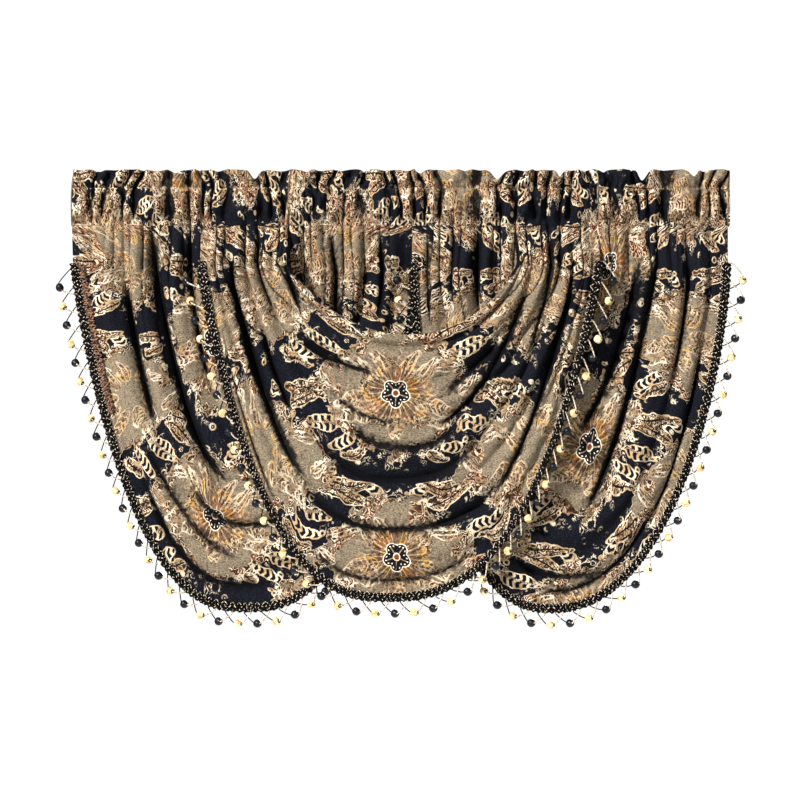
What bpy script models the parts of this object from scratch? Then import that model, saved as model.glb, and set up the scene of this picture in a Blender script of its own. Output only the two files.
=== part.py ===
"""A waterfall valance: three overlapping gathered swags of jacquard cloth under one rod-pocket heading,
each swag edged with a gimp braid that carries a fringe of wooden beads on looped strings.

Metres, +Z up. The valance faces -Y. The origin is the middle of its top edge, over the rod's centre line.
"""

import bisect
import math

import bmesh
import bpy
from mathutils import Vector

# Driving sizes of the heading
WIDTH = 1.245
RUFFLE_DROP = 0.036
HEADING_DROP = 0.1057
POCKET_MIDDLE = (RUFFLE_DROP + HEADING_DROP) / 2
POCKET_WALL = 0.0022
SEAM_ALLOWANCE = 0.004
GATHER_WIDTHS = (0.034, 0.026, 0.041, 0.030, 0.037, 0.028, 0.046, 0.031, 0.024, 0.039)
GATHER_DEPTH = 0.0042
RUFFLE_DIPS = (0.003, 0.012, 0.005, 0.017, 0.002, 0.009, 0.006)

# One row for each level of the heading's section. drop is below the top edge, front and back are the
# cloth's depths there, each pushed forward on a gather's crest by its share of the gathers' depth.
HEADING_LEVELS = (
    dict(drop=0.0, front=-0.0022, front_share=1.0, back=0.0022, back_share=1.0),
    dict(drop=0.0216, front=-0.0032, front_share=0.8, back=0.0032, back_share=0.8),
    dict(drop=RUFFLE_DROP, front=-0.0032, front_share=0.3, back=0.0032, back_share=0.3),
    dict(drop=0.0517, front=-0.0152, front_share=0.8, back=0.0128, back_share=-0.5),
    dict(drop=POCKET_MIDDLE, front=-0.0190, front_share=1.0, back=0.0160, back_share=-0.6),
    dict(drop=0.0883, front=-0.0162, front_share=0.8, back=0.0136, back_share=-0.5),
    dict(drop=HEADING_DROP, front=-0.0085, front_share=0.2, back=0.0045, back_share=-0.2),
)
POCKET_SHOULDER_DROPS = (0.0506, 0.0900)
POCKET_SHOULDER_SHARES = (0.74, 0.80)

# Driving sizes of the cloth and its edges
SWAG_TOP = -0.1067
TRIM_TOP = -0.177
CLOTH_THICKNESS = 0.002
STRAIGHT_SHARE = 0.1
ACROSS_STEPS = 22
HEM_STRIP = 0.017
FOLD_ROW_SHARES = (0.3, 0.55, 0.8, 1.0)
COWL_POWER = 1.5
FOLD_RAMP = 0.075
FOLD_LEAST = 0.12
HANG_RAMP = 0.115

# Driving sizes of the trimming
GIMP_INSIDE = 0.014
GIMP_OUTSIDE = 0.006
GIMP_THICKNESS = 0.003
SEWN_GAP = 0.0010
BEAD_PITCH = 0.0355
BEAD_RADIUS = 0.0082
BEAD_HANG = 0.027
BEAD_OUTWARD = 0.75
BEAD_DOWNWARD = 0.60
STRING_RADIUS = 0.0009
STRING_SPREAD = 0.0125
STRING_ROOT = 0.003
BEAD_RING_PLACE = 0.45
TRACK_SAMPLES = 600

# One row for the neck and one for the hem of each swag, in metres. x is the middle of its two ends
# at the heading, left and right are its reach from there, and drop is its lowest point below the
# top edge, moved sideways by lean. The larger fall is, the longer its sides stay steep, and the
# smaller spread is, the rounder its bottom.
EDGES = {
    "left": dict(
        neck=dict(x=-0.290, left=0.062, right=0.062, drop=0.460, lean=0.005, fall=1.50, spread=0.445),
        hem=dict(x=-0.306, left=0.315, right=0.341, drop=0.834, lean=0.013, fall=1.20, spread=0.384),
    ),
    "right": dict(
        neck=dict(x=0.292, left=0.058, right=0.058, drop=0.450, lean=-0.015, fall=1.50, spread=0.445),
        hem=dict(x=0.293, left=0.264, right=0.326, drop=0.834, lean=-0.012, fall=1.67, spread=0.439),
    ),
    "centre": dict(
        neck=dict(x=0.005, left=0.217, right=0.216, drop=0.3145, lean=0.009, fall=1.20, spread=0.470),
        hem=dict(x=-0.033, left=0.344, right=0.408, drop=0.810, lean=0.006, fall=1.17, spread=0.382),
    ),
}

# One row for how each swag hangs, as depths in metres: seam is where it joins the heading, below
# its usual depth further down, and cowl how far its neck rolls forward.
HANGS = {
    "left": dict(seam=0.0032, below=0.018, cowl=0.010),
    "right": dict(seam=0.0005, below=-0.010, cowl=0.010),
    "centre": dict(seam=-0.0052, below=-0.052, cowl=0.034),
}

# One row for each fold. Its crest lies at left, middle and right on the scale of places that is 0
# at the neck and 1 at the hem, and reach is half its width on that scale. It stands forward by
# steep metres beside the heading and by low metres at its lowest point.
FOLDS = {
    "left": (
        dict(left=0.08, middle=0.08, right=0.10, reach=0.10, steep=0.010, low=0.008),
        dict(left=0.30, middle=0.25, right=0.30, reach=0.13, steep=0.015, low=0.010),
        dict(left=0.54, middle=0.49, right=0.52, reach=0.10, steep=0.015, low=0.008),
        dict(left=0.77, middle=0.72, right=0.75, reach=0.13, steep=0.014, low=0.010),
    ),
    "right": (
        dict(left=0.10, middle=0.08, right=0.18, reach=0.12, steep=0.013, low=0.008),
        dict(left=0.32, middle=0.34, right=0.43, reach=0.09, steep=0.014, low=0.008),
        dict(left=0.55, middle=0.66, right=0.61, reach=0.12, steep=0.015, low=0.011),
        dict(left=0.80, middle=0.82, right=0.80, reach=0.09, steep=0.011, low=0.006),
    ),
    "centre": (
        dict(left=0.00, middle=0.00, right=0.00, reach=0.06, steep=0.010, low=0.012),
        dict(left=0.11, middle=0.13, right=0.11, reach=0.07, steep=0.012, low=0.009),
        dict(left=0.26, middle=0.28, right=0.30, reach=0.09, steep=0.013, low=0.010),
        dict(left=0.41, middle=0.44, right=0.44, reach=0.08, steep=0.011, low=0.010),
        dict(left=0.56, middle=0.57, right=0.59, reach=0.08, steep=0.015, low=0.008),
        dict(left=0.74, middle=0.70, right=0.76, reach=0.09, steep=0.015, low=0.010),
        dict(left=0.86, middle=0.84, right=0.86, reach=0.07, steep=0.009, low=0.007),
    ),
}


def smooth(x):
    """0 before 0, 1 after 1, and an easy curve between."""
    x = min(max(x, 0.0), 1.0)
    return x * x * (3 - 2 * x)


def mix(a, b, share):
    return a + (b - a) * share


def crest_place(fold, across):
    """The place of a fold's crest on the hanging line at this distance from the middle."""
    side = "left" if across < 0 else "right"
    return mix(fold["middle"], fold[side], smooth(abs(across)))


def fold_height(folds, place, across):
    """How far the folds stand forward at this place."""
    height = 0.0
    for fold in folds:
        away = abs(place - crest_place(fold, across)) / fold["reach"]
        if away < 1:
            crest = mix(fold["low"], fold["steep"], smooth(abs(across)))
            height += crest * (1 + math.cos(math.pi * away)) / 2
    return height


def edge_point(edge, across):
    """A neck's or hem's (x, z), and its fall from 0 at the straight ends to 1 at the lowest point."""
    angle = min(abs(across) / (1 - STRAIGHT_SHARE), 1.0) * math.pi / 2
    fall = max(math.cos(angle), 0.0) ** (2 / edge["fall"])
    out = math.sin(angle) ** (2 * edge["spread"])
    above = max(abs(across) - (1 - STRAIGHT_SHARE), 0.0) / STRAIGHT_SHARE
    reach = -edge["left"] if across < 0 else edge["right"]
    z = mix(TRIM_TOP, -edge["drop"], fall) + (SWAG_TOP - TRIM_TOP) * above
    return edge["x"] + edge["lean"] * fall + reach * out, z, fall


def swag_point(name, across, place):
    """A point of a swag's middle surface. across runs from -1 to 1 along a hanging line, from
    heading to heading, and place from 0 at the neck to 1 at the hem."""
    edges, hang = EDGES[name], HANGS[name]
    neck, hem = edge_point(edges["neck"], across), edge_point(edges["hem"], across)
    x, z, fall = (mix(a, b, place) for a, b in zip(neck, hem))
    below = SWAG_TOP - z
    y = mix(hang["seam"], hang["below"], smooth(below / HANG_RAMP))
    y -= hang["cowl"] * fall * (1 - place) ** COWL_POWER
    ramp = mix(FOLD_LEAST, 1.0, smooth(below / FOLD_RAMP))
    y -= ramp * fold_height(FOLDS[name], place, across)
    return Vector((x, y, z))


def column_places(name, across):
    """The places where a swag's mesh has a row on one hanging line: its neck, each fold's crest, the
    slopes and valleys between, and the hem's flat strip."""
    crests = [crest_place(fold, across) for fold in FOLDS[name]]
    rows = [0.0] if crests[0] == 0 else [0.0, crests[0]]
    for before, after in zip(crests, crests[1:]):
        rows += [mix(before, after, share) for share in FOLD_ROW_SHARES]
    return rows + [strip_place(name, across), 1.0]


def strip_place(name, across):
    """The place that lies the hem strip's width inside the hem, where the cloth is flat for the braid."""
    spacing = (swag_point(name, across, 1.0) - swag_point(name, across, 0.99)).length / 0.01
    return 1 - HEM_STRIP / spacing


def across_rows():
    """The places along a hanging line: two steps down each straight end, and even steps between."""
    reach = 1 - STRAIGHT_SHARE
    between = [mix(-reach, reach, i / ACROSS_STEPS) for i in range(ACROSS_STEPS + 1)]
    straight = [1 - STRAIGHT_SHARE / 2, 1.0]
    return [-1.0, -straight[0]] + between + straight


def add_object(name, bm, material):
    mesh = bpy.data.meshes.new(name)
    bm.to_mesh(mesh)
    bm.free()
    mesh.materials.append(material)
    obj = bpy.data.objects.new(name, mesh)
    bpy.context.scene.collection.objects.link(obj)
    return obj


def face_towards(bm, direction):
    """Turns an open sheet so that most of it faces the given way."""
    bmesh.ops.recalc_face_normals(bm, faces=bm.faces[:])
    facing = sum((f.normal * f.calc_area() for f in bm.faces), Vector())
    if facing.dot(direction) < 0:
        bmesh.ops.reverse_faces(bm, faces=bm.faces[:])


def make_material(name, colour, roughness):
    material = bpy.data.materials.new(name)
    material.use_nodes = True
    shader = material.node_tree.nodes["Principled BSDF"]
    shader.inputs["Base Color"].default_value = (*colour, 1.0)
    shader.inputs["Roughness"].default_value = roughness
    return material


def make_swag(name, material):
    """One panel of cloth: a grid laid along the hanging lines, given the cloth's thickness."""
    lines = across_rows()
    columns = [column_places(name, across) for across in lines]
    last_line, last_row = len(lines) - 1, len(columns[0]) - 1
    bm = bmesh.new()
    bmesh.ops.create_grid(bm, x_segments=last_line, y_segments=last_row, size=1)
    for vert in bm.verts:
        i = round((vert.co.x + 1) / 2 * last_line)
        j = round((vert.co.y + 1) / 2 * last_row)
        vert.co = swag_point(name, lines[i], columns[i][j])
    face_towards(bm, Vector((0, -1, 0)))
    swag = add_object("swag_" + name, bm, material)
    thick = swag.modifiers.new("Cloth thickness", "SOLIDIFY")
    thick.thickness = CLOTH_THICKNESS
    thick.offset = 0
    swag.data.shade_smooth()
    return swag


def hem_frame(name, across):
    """The hem's point, with the ways out of the cloth and out of its front there."""
    edge = swag_point(name, across, 1.0)
    outward = (edge - swag_point(name, across, strip_place(name, across))).normalized()
    step = 0.01
    along = swag_point(name, min(across + step, 1), 1.0) - swag_point(name, max(across - step, -1), 1.0)
    front = outward.cross(along.normalized()).normalized()
    if front.y > 0:
        front = -front
    return edge, outward, front


def gimp_lines():
    """The hem's places that carry braid: all below the start of the trimming."""
    return across_rows()[2:-2]


def ring_of(bm, centre, radius, sides, u, v):
    turns = (2 * math.pi * k / sides for k in range(sides))
    return [bm.verts.new(centre + u * (radius * math.cos(a)) + v * (radius * math.sin(a))) for a in turns]


def join_equal(bm, a, b):
    for i in range(len(a)):
        j = (i + 1) % len(a)
        bm.faces.new((a[i], a[j], b[j], b[i]))


def join_three_to_six(bm, three, six):
    for i in range(3):
        j = (i + 1) % 3
        first, second, third = six[2 * i], six[2 * i + 1], six[(2 * i + 2) % 6]
        bm.faces.new((three[i], second, first))
        bm.faces.new((three[i], three[j], second))
        bm.faces.new((three[j], third, second))


def add_gimp(bm, name):
    """The braid, a flat strip sewn to the front of the hem, built as a run of box sections."""
    rings = []
    for across in gimp_lines():
        edge, outward, front = hem_frame(name, across)
        back = edge + front * (CLOTH_THICKNESS / 2 + SEWN_GAP)
        corners = [
            back - outward * GIMP_INSIDE,
            back + outward * GIMP_OUTSIDE,
            back + outward * GIMP_OUTSIDE + front * GIMP_THICKNESS,
            back - outward * GIMP_INSIDE + front * GIMP_THICKNESS,
        ]
        rings.append([bm.verts.new(c) for c in corners])
    for a, b in zip(rings, rings[1:]):
        join_equal(bm, a, b)
    bm.faces.new(rings[0])
    bm.faces.new(rings[-1])
    bmesh.ops.recalc_face_normals(bm, faces=bm.faces[:])


def gimp_edge(name):
    """Points along the braid's outer edge with their outward and front ways, and the run's length to each."""
    reach = 1 - STRAIGHT_SHARE
    lines = gimp_lines()
    ends = [hem_frame(name, a) for a in lines]
    track, run = [], [0.0]
    for k in range(TRACK_SAMPLES + 1):
        across = mix(-reach, reach, k / TRACK_SAMPLES)
        i = min(max(bisect.bisect_right(lines, across) - 1, 0), len(lines) - 2)
        share = (across - lines[i]) / (lines[i + 1] - lines[i])
        edge, outward, front = (ends[i][m].lerp(ends[i + 1][m], share) for m in range(3))
        middle = CLOTH_THICKNESS / 2 + SEWN_GAP + GIMP_THICKNESS / 2
        track.append((edge + outward * GIMP_OUTSIDE + front * middle, outward, front))
        if k:
            run.append(run[-1] + (track[-1][0] - track[-2][0]).length)
    return track, run


def at_run(track, run, distance):
    i = min(max(bisect.bisect_right(run, distance) - 1, 0), len(run) - 2)
    share = (distance - run[i]) / (run[i + 1] - run[i])
    return tuple(track[i][m].lerp(track[i + 1][m], share) for m in range(3))


def add_bead(bm, roots, bead, front, hang):
    """One string from the braid, through a bead's hole and back up to the braid, with its bead."""
    through = hang.cross(front).normalized()
    if through.dot(roots[1] - roots[0]) < 0:
        through = -through
    poles = [bead - through * BEAD_RADIUS, bead + through * BEAD_RADIUS]
    ways_in = (poles[0] - roots[0]).normalized()
    ways_out = (roots[1] - poles[1]).normalized()
    ring_radius = BEAD_RADIUS * math.sqrt(1 - BEAD_RING_PLACE**2)
    stations = (
        (roots[0], STRING_RADIUS, 3, ways_in),
        (poles[0], STRING_RADIUS, 3, ways_in + through),
        (bead - through * (BEAD_RING_PLACE * BEAD_RADIUS), ring_radius, 6, through),
        (bead + through * (BEAD_RING_PLACE * BEAD_RADIUS), ring_radius, 6, through),
        (poles[1], STRING_RADIUS, 3, through + ways_out),
        (roots[1], STRING_RADIUS, 3, ways_out),
    )
    rings = []
    for centre, radius, sides, way in stations:
        rings.append(ring_of(bm, centre, radius, sides, front, front.cross(way).normalized()))
    join_equal(bm, rings[0], rings[1])
    join_three_to_six(bm, rings[1], rings[2])
    join_equal(bm, rings[2], rings[3])
    join_three_to_six(bm, rings[4], rings[3])
    join_equal(bm, rings[4], rings[5])
    bm.faces.new(rings[0])
    bm.faces.new(rings[-1])


def make_fringe(name, material):
    """The braid with its looped strings and beads, made one by a union at the strings' roots."""
    bm = bmesh.new()
    add_gimp(bm, name)
    fringe = add_object("fringe_" + name, bm, material)
    track, run = gimp_edge(name)
    count = int((run[-1] - BEAD_PITCH) / BEAD_PITCH)
    margin = (run[-1] - (count - 1) * BEAD_PITCH) / 2
    beads = bmesh.new()
    for k in range(count):
        distance = margin + k * BEAD_PITCH
        edge, outward, front = at_run(track, run, distance)
        hang = (outward * BEAD_OUTWARD + Vector((0, 0, -1)) * BEAD_DOWNWARD).normalized()
        roots = []
        for side in (-1, 1):
            root, root_outward, _ = at_run(track, run, distance + side * STRING_SPREAD)
            roots.append(root - root_outward * STRING_ROOT)
        add_bead(beads, roots, edge + hang * BEAD_HANG, front, hang)
    bmesh.ops.recalc_face_normals(beads, faces=beads.faces[:])
    strings = add_object("strings_" + name, beads, material)
    strings.hide_render = True
    strings.display_type = "WIRE"
    union = fringe.modifiers.new("Strings sewn in", "BOOLEAN")
    union.operation = "UNION"
    union.solver = "EXACT"
    union.object = strings
    return fringe


def gather_stations():
    """(x, push) along the heading: push is 1 on a gather's crest and -1 in the valley beside it."""
    stations, x, k = [(-WIDTH / 2, 0.0)], -WIDTH / 2, 0
    while True:
        half = GATHER_WIDTHS[k // 2 % len(GATHER_WIDTHS)] / 2
        x += half
        if x > WIDTH / 2 - half:
            break
        stations.append((x, 1.0 if k % 2 == 0 else -1.0))
        k += 1
    return stations + [(WIDTH / 2, 0.0)]


def heading_outline(push, dip):
    """The heading's (y, z) at one station, from the top edge down the front and up the back. Its top
    edge is lowered by dip."""
    front, back = [], []
    for level in HEADING_LEVELS:
        z = -max(level["drop"], dip)
        depth = GATHER_DEPTH * push
        front.append((level["front"] - depth * level["front_share"], z))
        back.append((level["back"] - depth * level["back_share"], z))
    return front + back[::-1]


def pocket_outline():
    """The rod pocket's inner (y, z), even along the heading so that a rod slides through."""
    middle = HEADING_LEVELS[4]
    front = middle["front"] + GATHER_DEPTH * middle["front_share"] + POCKET_WALL
    back = middle["back"] + GATHER_DEPTH * middle["back_share"] - POCKET_WALL
    (upper, lower), (upper_share, lower_share) = POCKET_SHOULDER_DROPS, POCKET_SHOULDER_SHARES
    return [
        (0.0, -RUFFLE_DROP - SEAM_ALLOWANCE),
        (front * upper_share, -upper),
        (front, -POCKET_MIDDLE),
        (front * lower_share, -lower),
        (0.0, -HEADING_DROP + SEAM_ALLOWANCE),
        (back * lower_share, -lower),
        (back, -POCKET_MIDDLE),
        (back * upper_share, -upper),
    ]


def make_heading(material):
    """The heading: one folded band with a standing ruffle above a rod pocket, gathered along its length."""
    bm = bmesh.new()
    outer = []
    for k, (x, push) in enumerate(gather_stations()):
        dip = RUFFLE_DIPS[k % len(RUFFLE_DIPS)]
        outer.append([bm.verts.new((x, y, z)) for y, z in heading_outline(push, dip)])
    for a, b in zip(outer, outer[1:]):
        join_equal(bm, a, b)
    inner = [[bm.verts.new((x, y, z)) for y, z in pocket_outline()] for x in (-WIDTH / 2, WIDTH / 2)]
    join_equal(bm, inner[0], inner[1])
    for rings in ((outer[0], inner[0]), (outer[-1], inner[1])):
        edges = [bm.edges.get((ring[i - 1], ring[i])) for ring in rings for i in range(len(ring))]
        bmesh.ops.triangle_fill(bm, edges=edges, use_beauty=True)
    bmesh.ops.recalc_face_normals(bm, faces=bm.faces[:])
    heading = add_object("heading", bm, material)
    heading.data.shade_smooth()
    return heading


def main():
    for obj in list(bpy.data.objects):
        bpy.data.objects.remove(obj)
    cloth = make_material("Jacquard cloth", (0.25, 0.20, 0.14), 0.8)
    braid = make_material("Gimp braid and beads", (0.05, 0.045, 0.05), 0.5)
    make_heading(cloth)
    for name in EDGES:
        make_swag(name, cloth)
        make_fringe(name, braid)


main()
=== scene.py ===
import math

import bmesh
import bpy
import numpy as np
from mathutils import Matrix, Vector, noise


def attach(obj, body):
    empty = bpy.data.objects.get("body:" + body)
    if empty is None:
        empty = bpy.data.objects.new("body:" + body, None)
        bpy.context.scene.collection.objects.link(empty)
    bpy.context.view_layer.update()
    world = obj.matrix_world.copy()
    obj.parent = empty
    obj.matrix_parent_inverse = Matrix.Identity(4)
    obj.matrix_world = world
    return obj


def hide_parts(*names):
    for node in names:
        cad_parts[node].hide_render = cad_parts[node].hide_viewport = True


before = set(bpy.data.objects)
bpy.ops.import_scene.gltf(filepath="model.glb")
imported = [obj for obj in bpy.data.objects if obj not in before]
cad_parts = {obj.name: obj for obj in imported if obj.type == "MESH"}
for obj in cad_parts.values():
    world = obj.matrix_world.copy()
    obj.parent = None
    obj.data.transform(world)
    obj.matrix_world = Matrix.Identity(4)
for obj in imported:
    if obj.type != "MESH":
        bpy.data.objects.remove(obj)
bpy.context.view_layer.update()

# ---------------------------------------------------------------------------------------------
# The three swags. Each is a panel of polyester jacquard gathered along its two sides into the
# heading, so that it hangs in U folds from one gather to the other. Its neck is rolled back and
# its hem turned in over a plain sateen lining.
# ---------------------------------------------------------------------------------------------


def named(columns, rows):
    """Names a table's columns. Each row is a tuple, and rows stand in lists or in dicts."""
    if isinstance(rows, dict):
        return {key: named(columns, row) for key, row in rows.items()}
    if isinstance(rows, list):
        return [named(columns, row) for row in rows]
    return dict(zip(columns.split(), rows))


# One row for the neck and one for the hem of each swag, in metres. x is the middle of its two ends
# at the heading, left and right are its reach from there, and drop is its lowest point below the
# top edge, moved sideways by lean. The larger fall is, the longer its sides stay steep, and the
# smaller spread is, the rounder its bottom.
EDGES = named("x left right drop lean fall spread", {
    "left": {
        "neck": (-0.290, 0.062, 0.062, 0.460, 0.005, 1.50, 0.445),
        "hem": (-0.306, 0.315, 0.341, 0.834, 0.013, 1.20, 0.384),
    },
    "right": {
        "neck": (0.292, 0.058, 0.058, 0.450, -0.015, 1.50, 0.445),
        "hem": (0.293, 0.271, 0.326, 0.834, -0.012, 1.67, 0.439),
    },
    "centre": {
        "neck": (0.005, 0.217, 0.216, 0.3145, 0.009, 1.20, 0.470),
        "hem": (-0.033, 0.344, 0.408, 0.810, 0.006, 1.17, 0.382),
    },
})

# One row for how each swag hangs, as depths in metres: seam is where it joins the heading, below
# its usual depth further down, and cowl how far its neck rolls forward. The middle of the cloth's
# drawn repeat lies at pattern_x and pattern_z.
HANGS = named("seam below cowl pattern_x pattern_z", {
    "left": (-0.0056, 0.018, 0.010, -0.362, -0.694),
    "right": (-0.0062, -0.010, 0.010, 0.365, -0.545),
    "centre": (-0.0074, -0.052, 0.034, -0.012, -0.450),
})

# One row for each fold. Its crest lies at left, middle and right on the scale of places that is 0
# at the neck and 1 at the hem, and reach is half its width on that scale. It stands forward by
# steep metres beside the heading and by low metres at its lowest point.
FOLDS = named("left middle right reach steep low", {
    "left": [
        (0.08, 0.08, 0.10, 0.10, 0.010, 0.008),
        (0.30, 0.25, 0.30, 0.13, 0.015, 0.010),
        (0.54, 0.49, 0.52, 0.10, 0.015, 0.008),
        (0.77, 0.72, 0.75, 0.13, 0.014, 0.010),
    ],
    "right": [
        (0.10, 0.08, 0.18, 0.12, 0.013, 0.008),
        (0.32, 0.34, 0.43, 0.09, 0.014, 0.008),
        (0.55, 0.66, 0.61, 0.12, 0.015, 0.011),
        (0.80, 0.82, 0.80, 0.09, 0.011, 0.006),
    ],
    "centre": [
        (0.00, 0.00, 0.00, 0.06, 0.010, 0.012),
        (0.11, 0.13, 0.11, 0.07, 0.012, 0.009),
        (0.26, 0.28, 0.30, 0.09, 0.013, 0.010),
        (0.41, 0.44, 0.44, 0.08, 0.011, 0.010),
        (0.56, 0.57, 0.59, 0.08, 0.015, 0.008),
        (0.74, 0.70, 0.76, 0.09, 0.015, 0.010),
        (0.86, 0.84, 0.86, 0.07, 0.009, 0.007),
    ],
})

# One row for each main crease, a trough through three points. Each point is (across, place):
# across runs from -1 to 1 along a hanging line. width and depth are in metres.
CREASES = named("start middle end width depth", {
    "left": [
        ((-1.10, 0.44), (-0.45, 0.38), (-0.05, 0.37), 0.011, 0.022),
        ((-0.80, 0.64), (-0.60, 0.64), (-0.42, 0.64), 0.008, 0.016),
        ((-0.66, 0.92), (-0.58, 0.92), (-0.48, 0.92), 0.006, 0.007),
        ((-0.44, 0.85), (-0.20, 0.87), (0.10, 0.89), 0.009, 0.008),
        ((-0.45, 0.75), (-0.20, 0.69), (0.02, 0.74), 0.009, 0.007),
        ((0.58, 0.46), (0.79, 0.40), (1.10, 0.36), 0.008, 0.014),
        ((0.66, 0.73), (0.85, 0.725), (1.10, 0.72), 0.007, 0.012),
        ((-1.10, 0.16), (-0.70, 0.17), (-0.35, 0.15), 0.008, 0.012),
        ((-0.30, 0.55), (-0.10, 0.57), (0.20, 0.56), 0.010, 0.007),
    ],
    "right": [
        ((0.12, 0.60), (0.50, 0.45), (0.96, 0.51), 0.010, 0.020),
        ((0.22, 0.22), (0.55, 0.30), (0.95, 0.38), 0.008, 0.014),
        ((0.60, 0.72), (0.74, 0.72), (0.90, 0.72), 0.007, 0.011),
        ((0.34, 0.92), (0.55, 0.89), (0.74, 0.86), 0.006, 0.011),
        ((-0.10, 0.91), (0.15, 0.91), (0.44, 0.90), 0.008, 0.007),
        ((-0.16, 0.78), (0.03, 0.83), (0.20, 0.88), 0.009, 0.007),
        ((-1.10, 0.87), (-0.85, 0.85), (-0.72, 0.84), 0.008, 0.014),
        ((-1.10, 0.41), (-0.87, 0.415), (-0.70, 0.42), 0.008, 0.013),
        ((-1.10, 0.62), (-0.90, 0.63), (-0.76, 0.64), 0.007, 0.011),
    ],
    "centre": [
        ((-0.96, 0.59), (-0.55, 0.67), (-0.22, 0.71), 0.010, 0.020),
        ((-0.70, 0.88), (-0.47, 0.92), (-0.28, 0.95), 0.006, 0.011),
        ((-0.86, 0.02), (-0.66, 0.07), (-0.48, 0.15), 0.008, 0.012),
        ((-0.60, 0.50), (-0.48, 0.53), (-0.36, 0.55), 0.007, 0.012),
        ((0.24, 0.79), (0.55, 0.70), (0.84, 0.65), 0.009, 0.018),
        ((0.08, 0.37), (0.38, 0.28), (0.68, 0.20), 0.009, 0.012),
        ((-0.48, 0.25), (-0.26, 0.18), (-0.08, 0.14), 0.008, 0.009),
        ((0.12, 0.25), (0.27, 0.22), (0.44, 0.22), 0.008, 0.008),
        ((-0.28, 0.31), (-0.12, 0.32), (0.02, 0.33), 0.008, 0.006),
        ((-0.19, 0.37), (0.00, 0.42), (0.22, 0.385), 0.009, 0.008),
        ((-0.30, 0.53), (0.00, 0.54), (0.30, 0.52), 0.009, 0.008),
        ((-0.32, 0.745), (0.00, 0.73), (0.33, 0.76), 0.010, 0.009),
        ((-0.24, 0.92), (0.00, 0.93), (0.24, 0.92), 0.008, 0.006),
        ((0.48, 0.46), (0.72, 0.42), (1.10, 0.40), 0.008, 0.013),
        ((-1.10, 0.33), (-0.78, 0.33), (-0.55, 0.34), 0.008, 0.012),
    ],
})

# The small gathers drawn up at the heading, taken in turn and over again from the neck to the hem,
# with each gather's width at the heading, its height there and how far down it fades, in metres.
GATHERS = named("width height fade", [
    (0.016, 0.0090, 0.090),
    (0.030, 0.0125, 0.230),
    (0.012, 0.0070, 0.060),
    (0.022, 0.0110, 0.130),
    (0.040, 0.0120, 0.270),
    (0.014, 0.0085, 0.075),
    (0.026, 0.0115, 0.180),
    (0.011, 0.0065, 0.055),
    (0.019, 0.0100, 0.120),
])

# Sizes that the three swags share, in metres, or as shares and powers where no length is meant.
SWAG_TOP = -0.1067
TRIM_TOP = -0.177
GATHER_ROUNDS = 6
STRAIGHT_SHARE = 0.1
TUCKED_ACROSS = 1.010
CLOTH_THICKNESS = 0.0018
HEM_STRIP = 0.017
COWL_POWER = 1.5
FOLD_RAMP = 0.075
FOLD_LEAST = 0.12
FOLD_POWER = 1.25
LONG_WRINKLES = 0.0050
SHORT_WRINKLES = 0.0020
HANG_RAMP = 0.115
DROOP = 0.45
CREASE_DEEPER = 1.25
CREASE_CLOSING = 0.30
# The crease depth in metres at which a crease's painted shade is full.
CREASE_SHADE_FULL = 0.014
DEEPEST = 0.0330
NECK_ROLL = 0.0045
NECK_ROLL_ROWS = 5
SWAG_COLUMNS = 310
SWAG_ROWS = 136
CLOTH_TAKEN_UP = 1.7
SEAM_FULLNESS = 0.85
FULLNESS_DROP = 0.20


def smooth(x):
    """0 before 0, 1 after 1, and an easy curve between."""
    x = np.clip(x, 0.0, 1.0)
    return x * x * (3 - 2 * x)


def mix(a, b, share):
    return a + (b - a) * share


def edge_line(edge, across):
    """A neck's or hem's x and z, and its fall: 0 at the straight ends and 1 at the lowest point."""
    angle = np.minimum(np.abs(across) / (1 - STRAIGHT_SHARE), 1.0) * math.pi / 2
    fall = np.maximum(np.cos(angle), 0.0) ** (2 / edge["fall"])
    out = np.sin(angle) ** (2 * edge["spread"])
    above = np.maximum(np.abs(across) - (1 - STRAIGHT_SHARE), 0.0) / STRAIGHT_SHARE
    reach = np.where(across < 0, -edge["left"], edge["right"])
    z = mix(TRIM_TOP, -edge["drop"], fall) + (SWAG_TOP - TRIM_TOP) * above
    return edge["x"] + edge["lean"] * fall + reach * out, z, fall


def hanging_lines(name, across):
    """The lines of a swag's neck and hem, the way from one to the other, and their distance."""
    neck, hem = (edge_line(EDGES[name][key], across) for key in ("neck", "hem"))
    spacing = np.hypot(hem[0] - neck[0], hem[1] - neck[1])
    return neck, hem, ((hem[0] - neck[0]) / spacing, (hem[1] - neck[1]) / spacing), spacing


def fold_height(folds, place, across):
    """How far the folds stand forward, each with a round crest and a close valley beside it."""
    height = np.zeros_like(place)
    side = smooth(np.abs(across))
    for fold in folds:
        end = np.where(across < 0, fold["left"], fold["right"])
        away = np.abs(place - mix(fold["middle"], end, side)) / fold["reach"]
        crest = mix(fold["low"], fold["steep"], side)
        profile = (1 + np.cos(math.pi * np.minimum(away, 1) ** FOLD_POWER)) / 2
        height += crest * np.where(away < 1, profile, 0)
    return height


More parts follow.
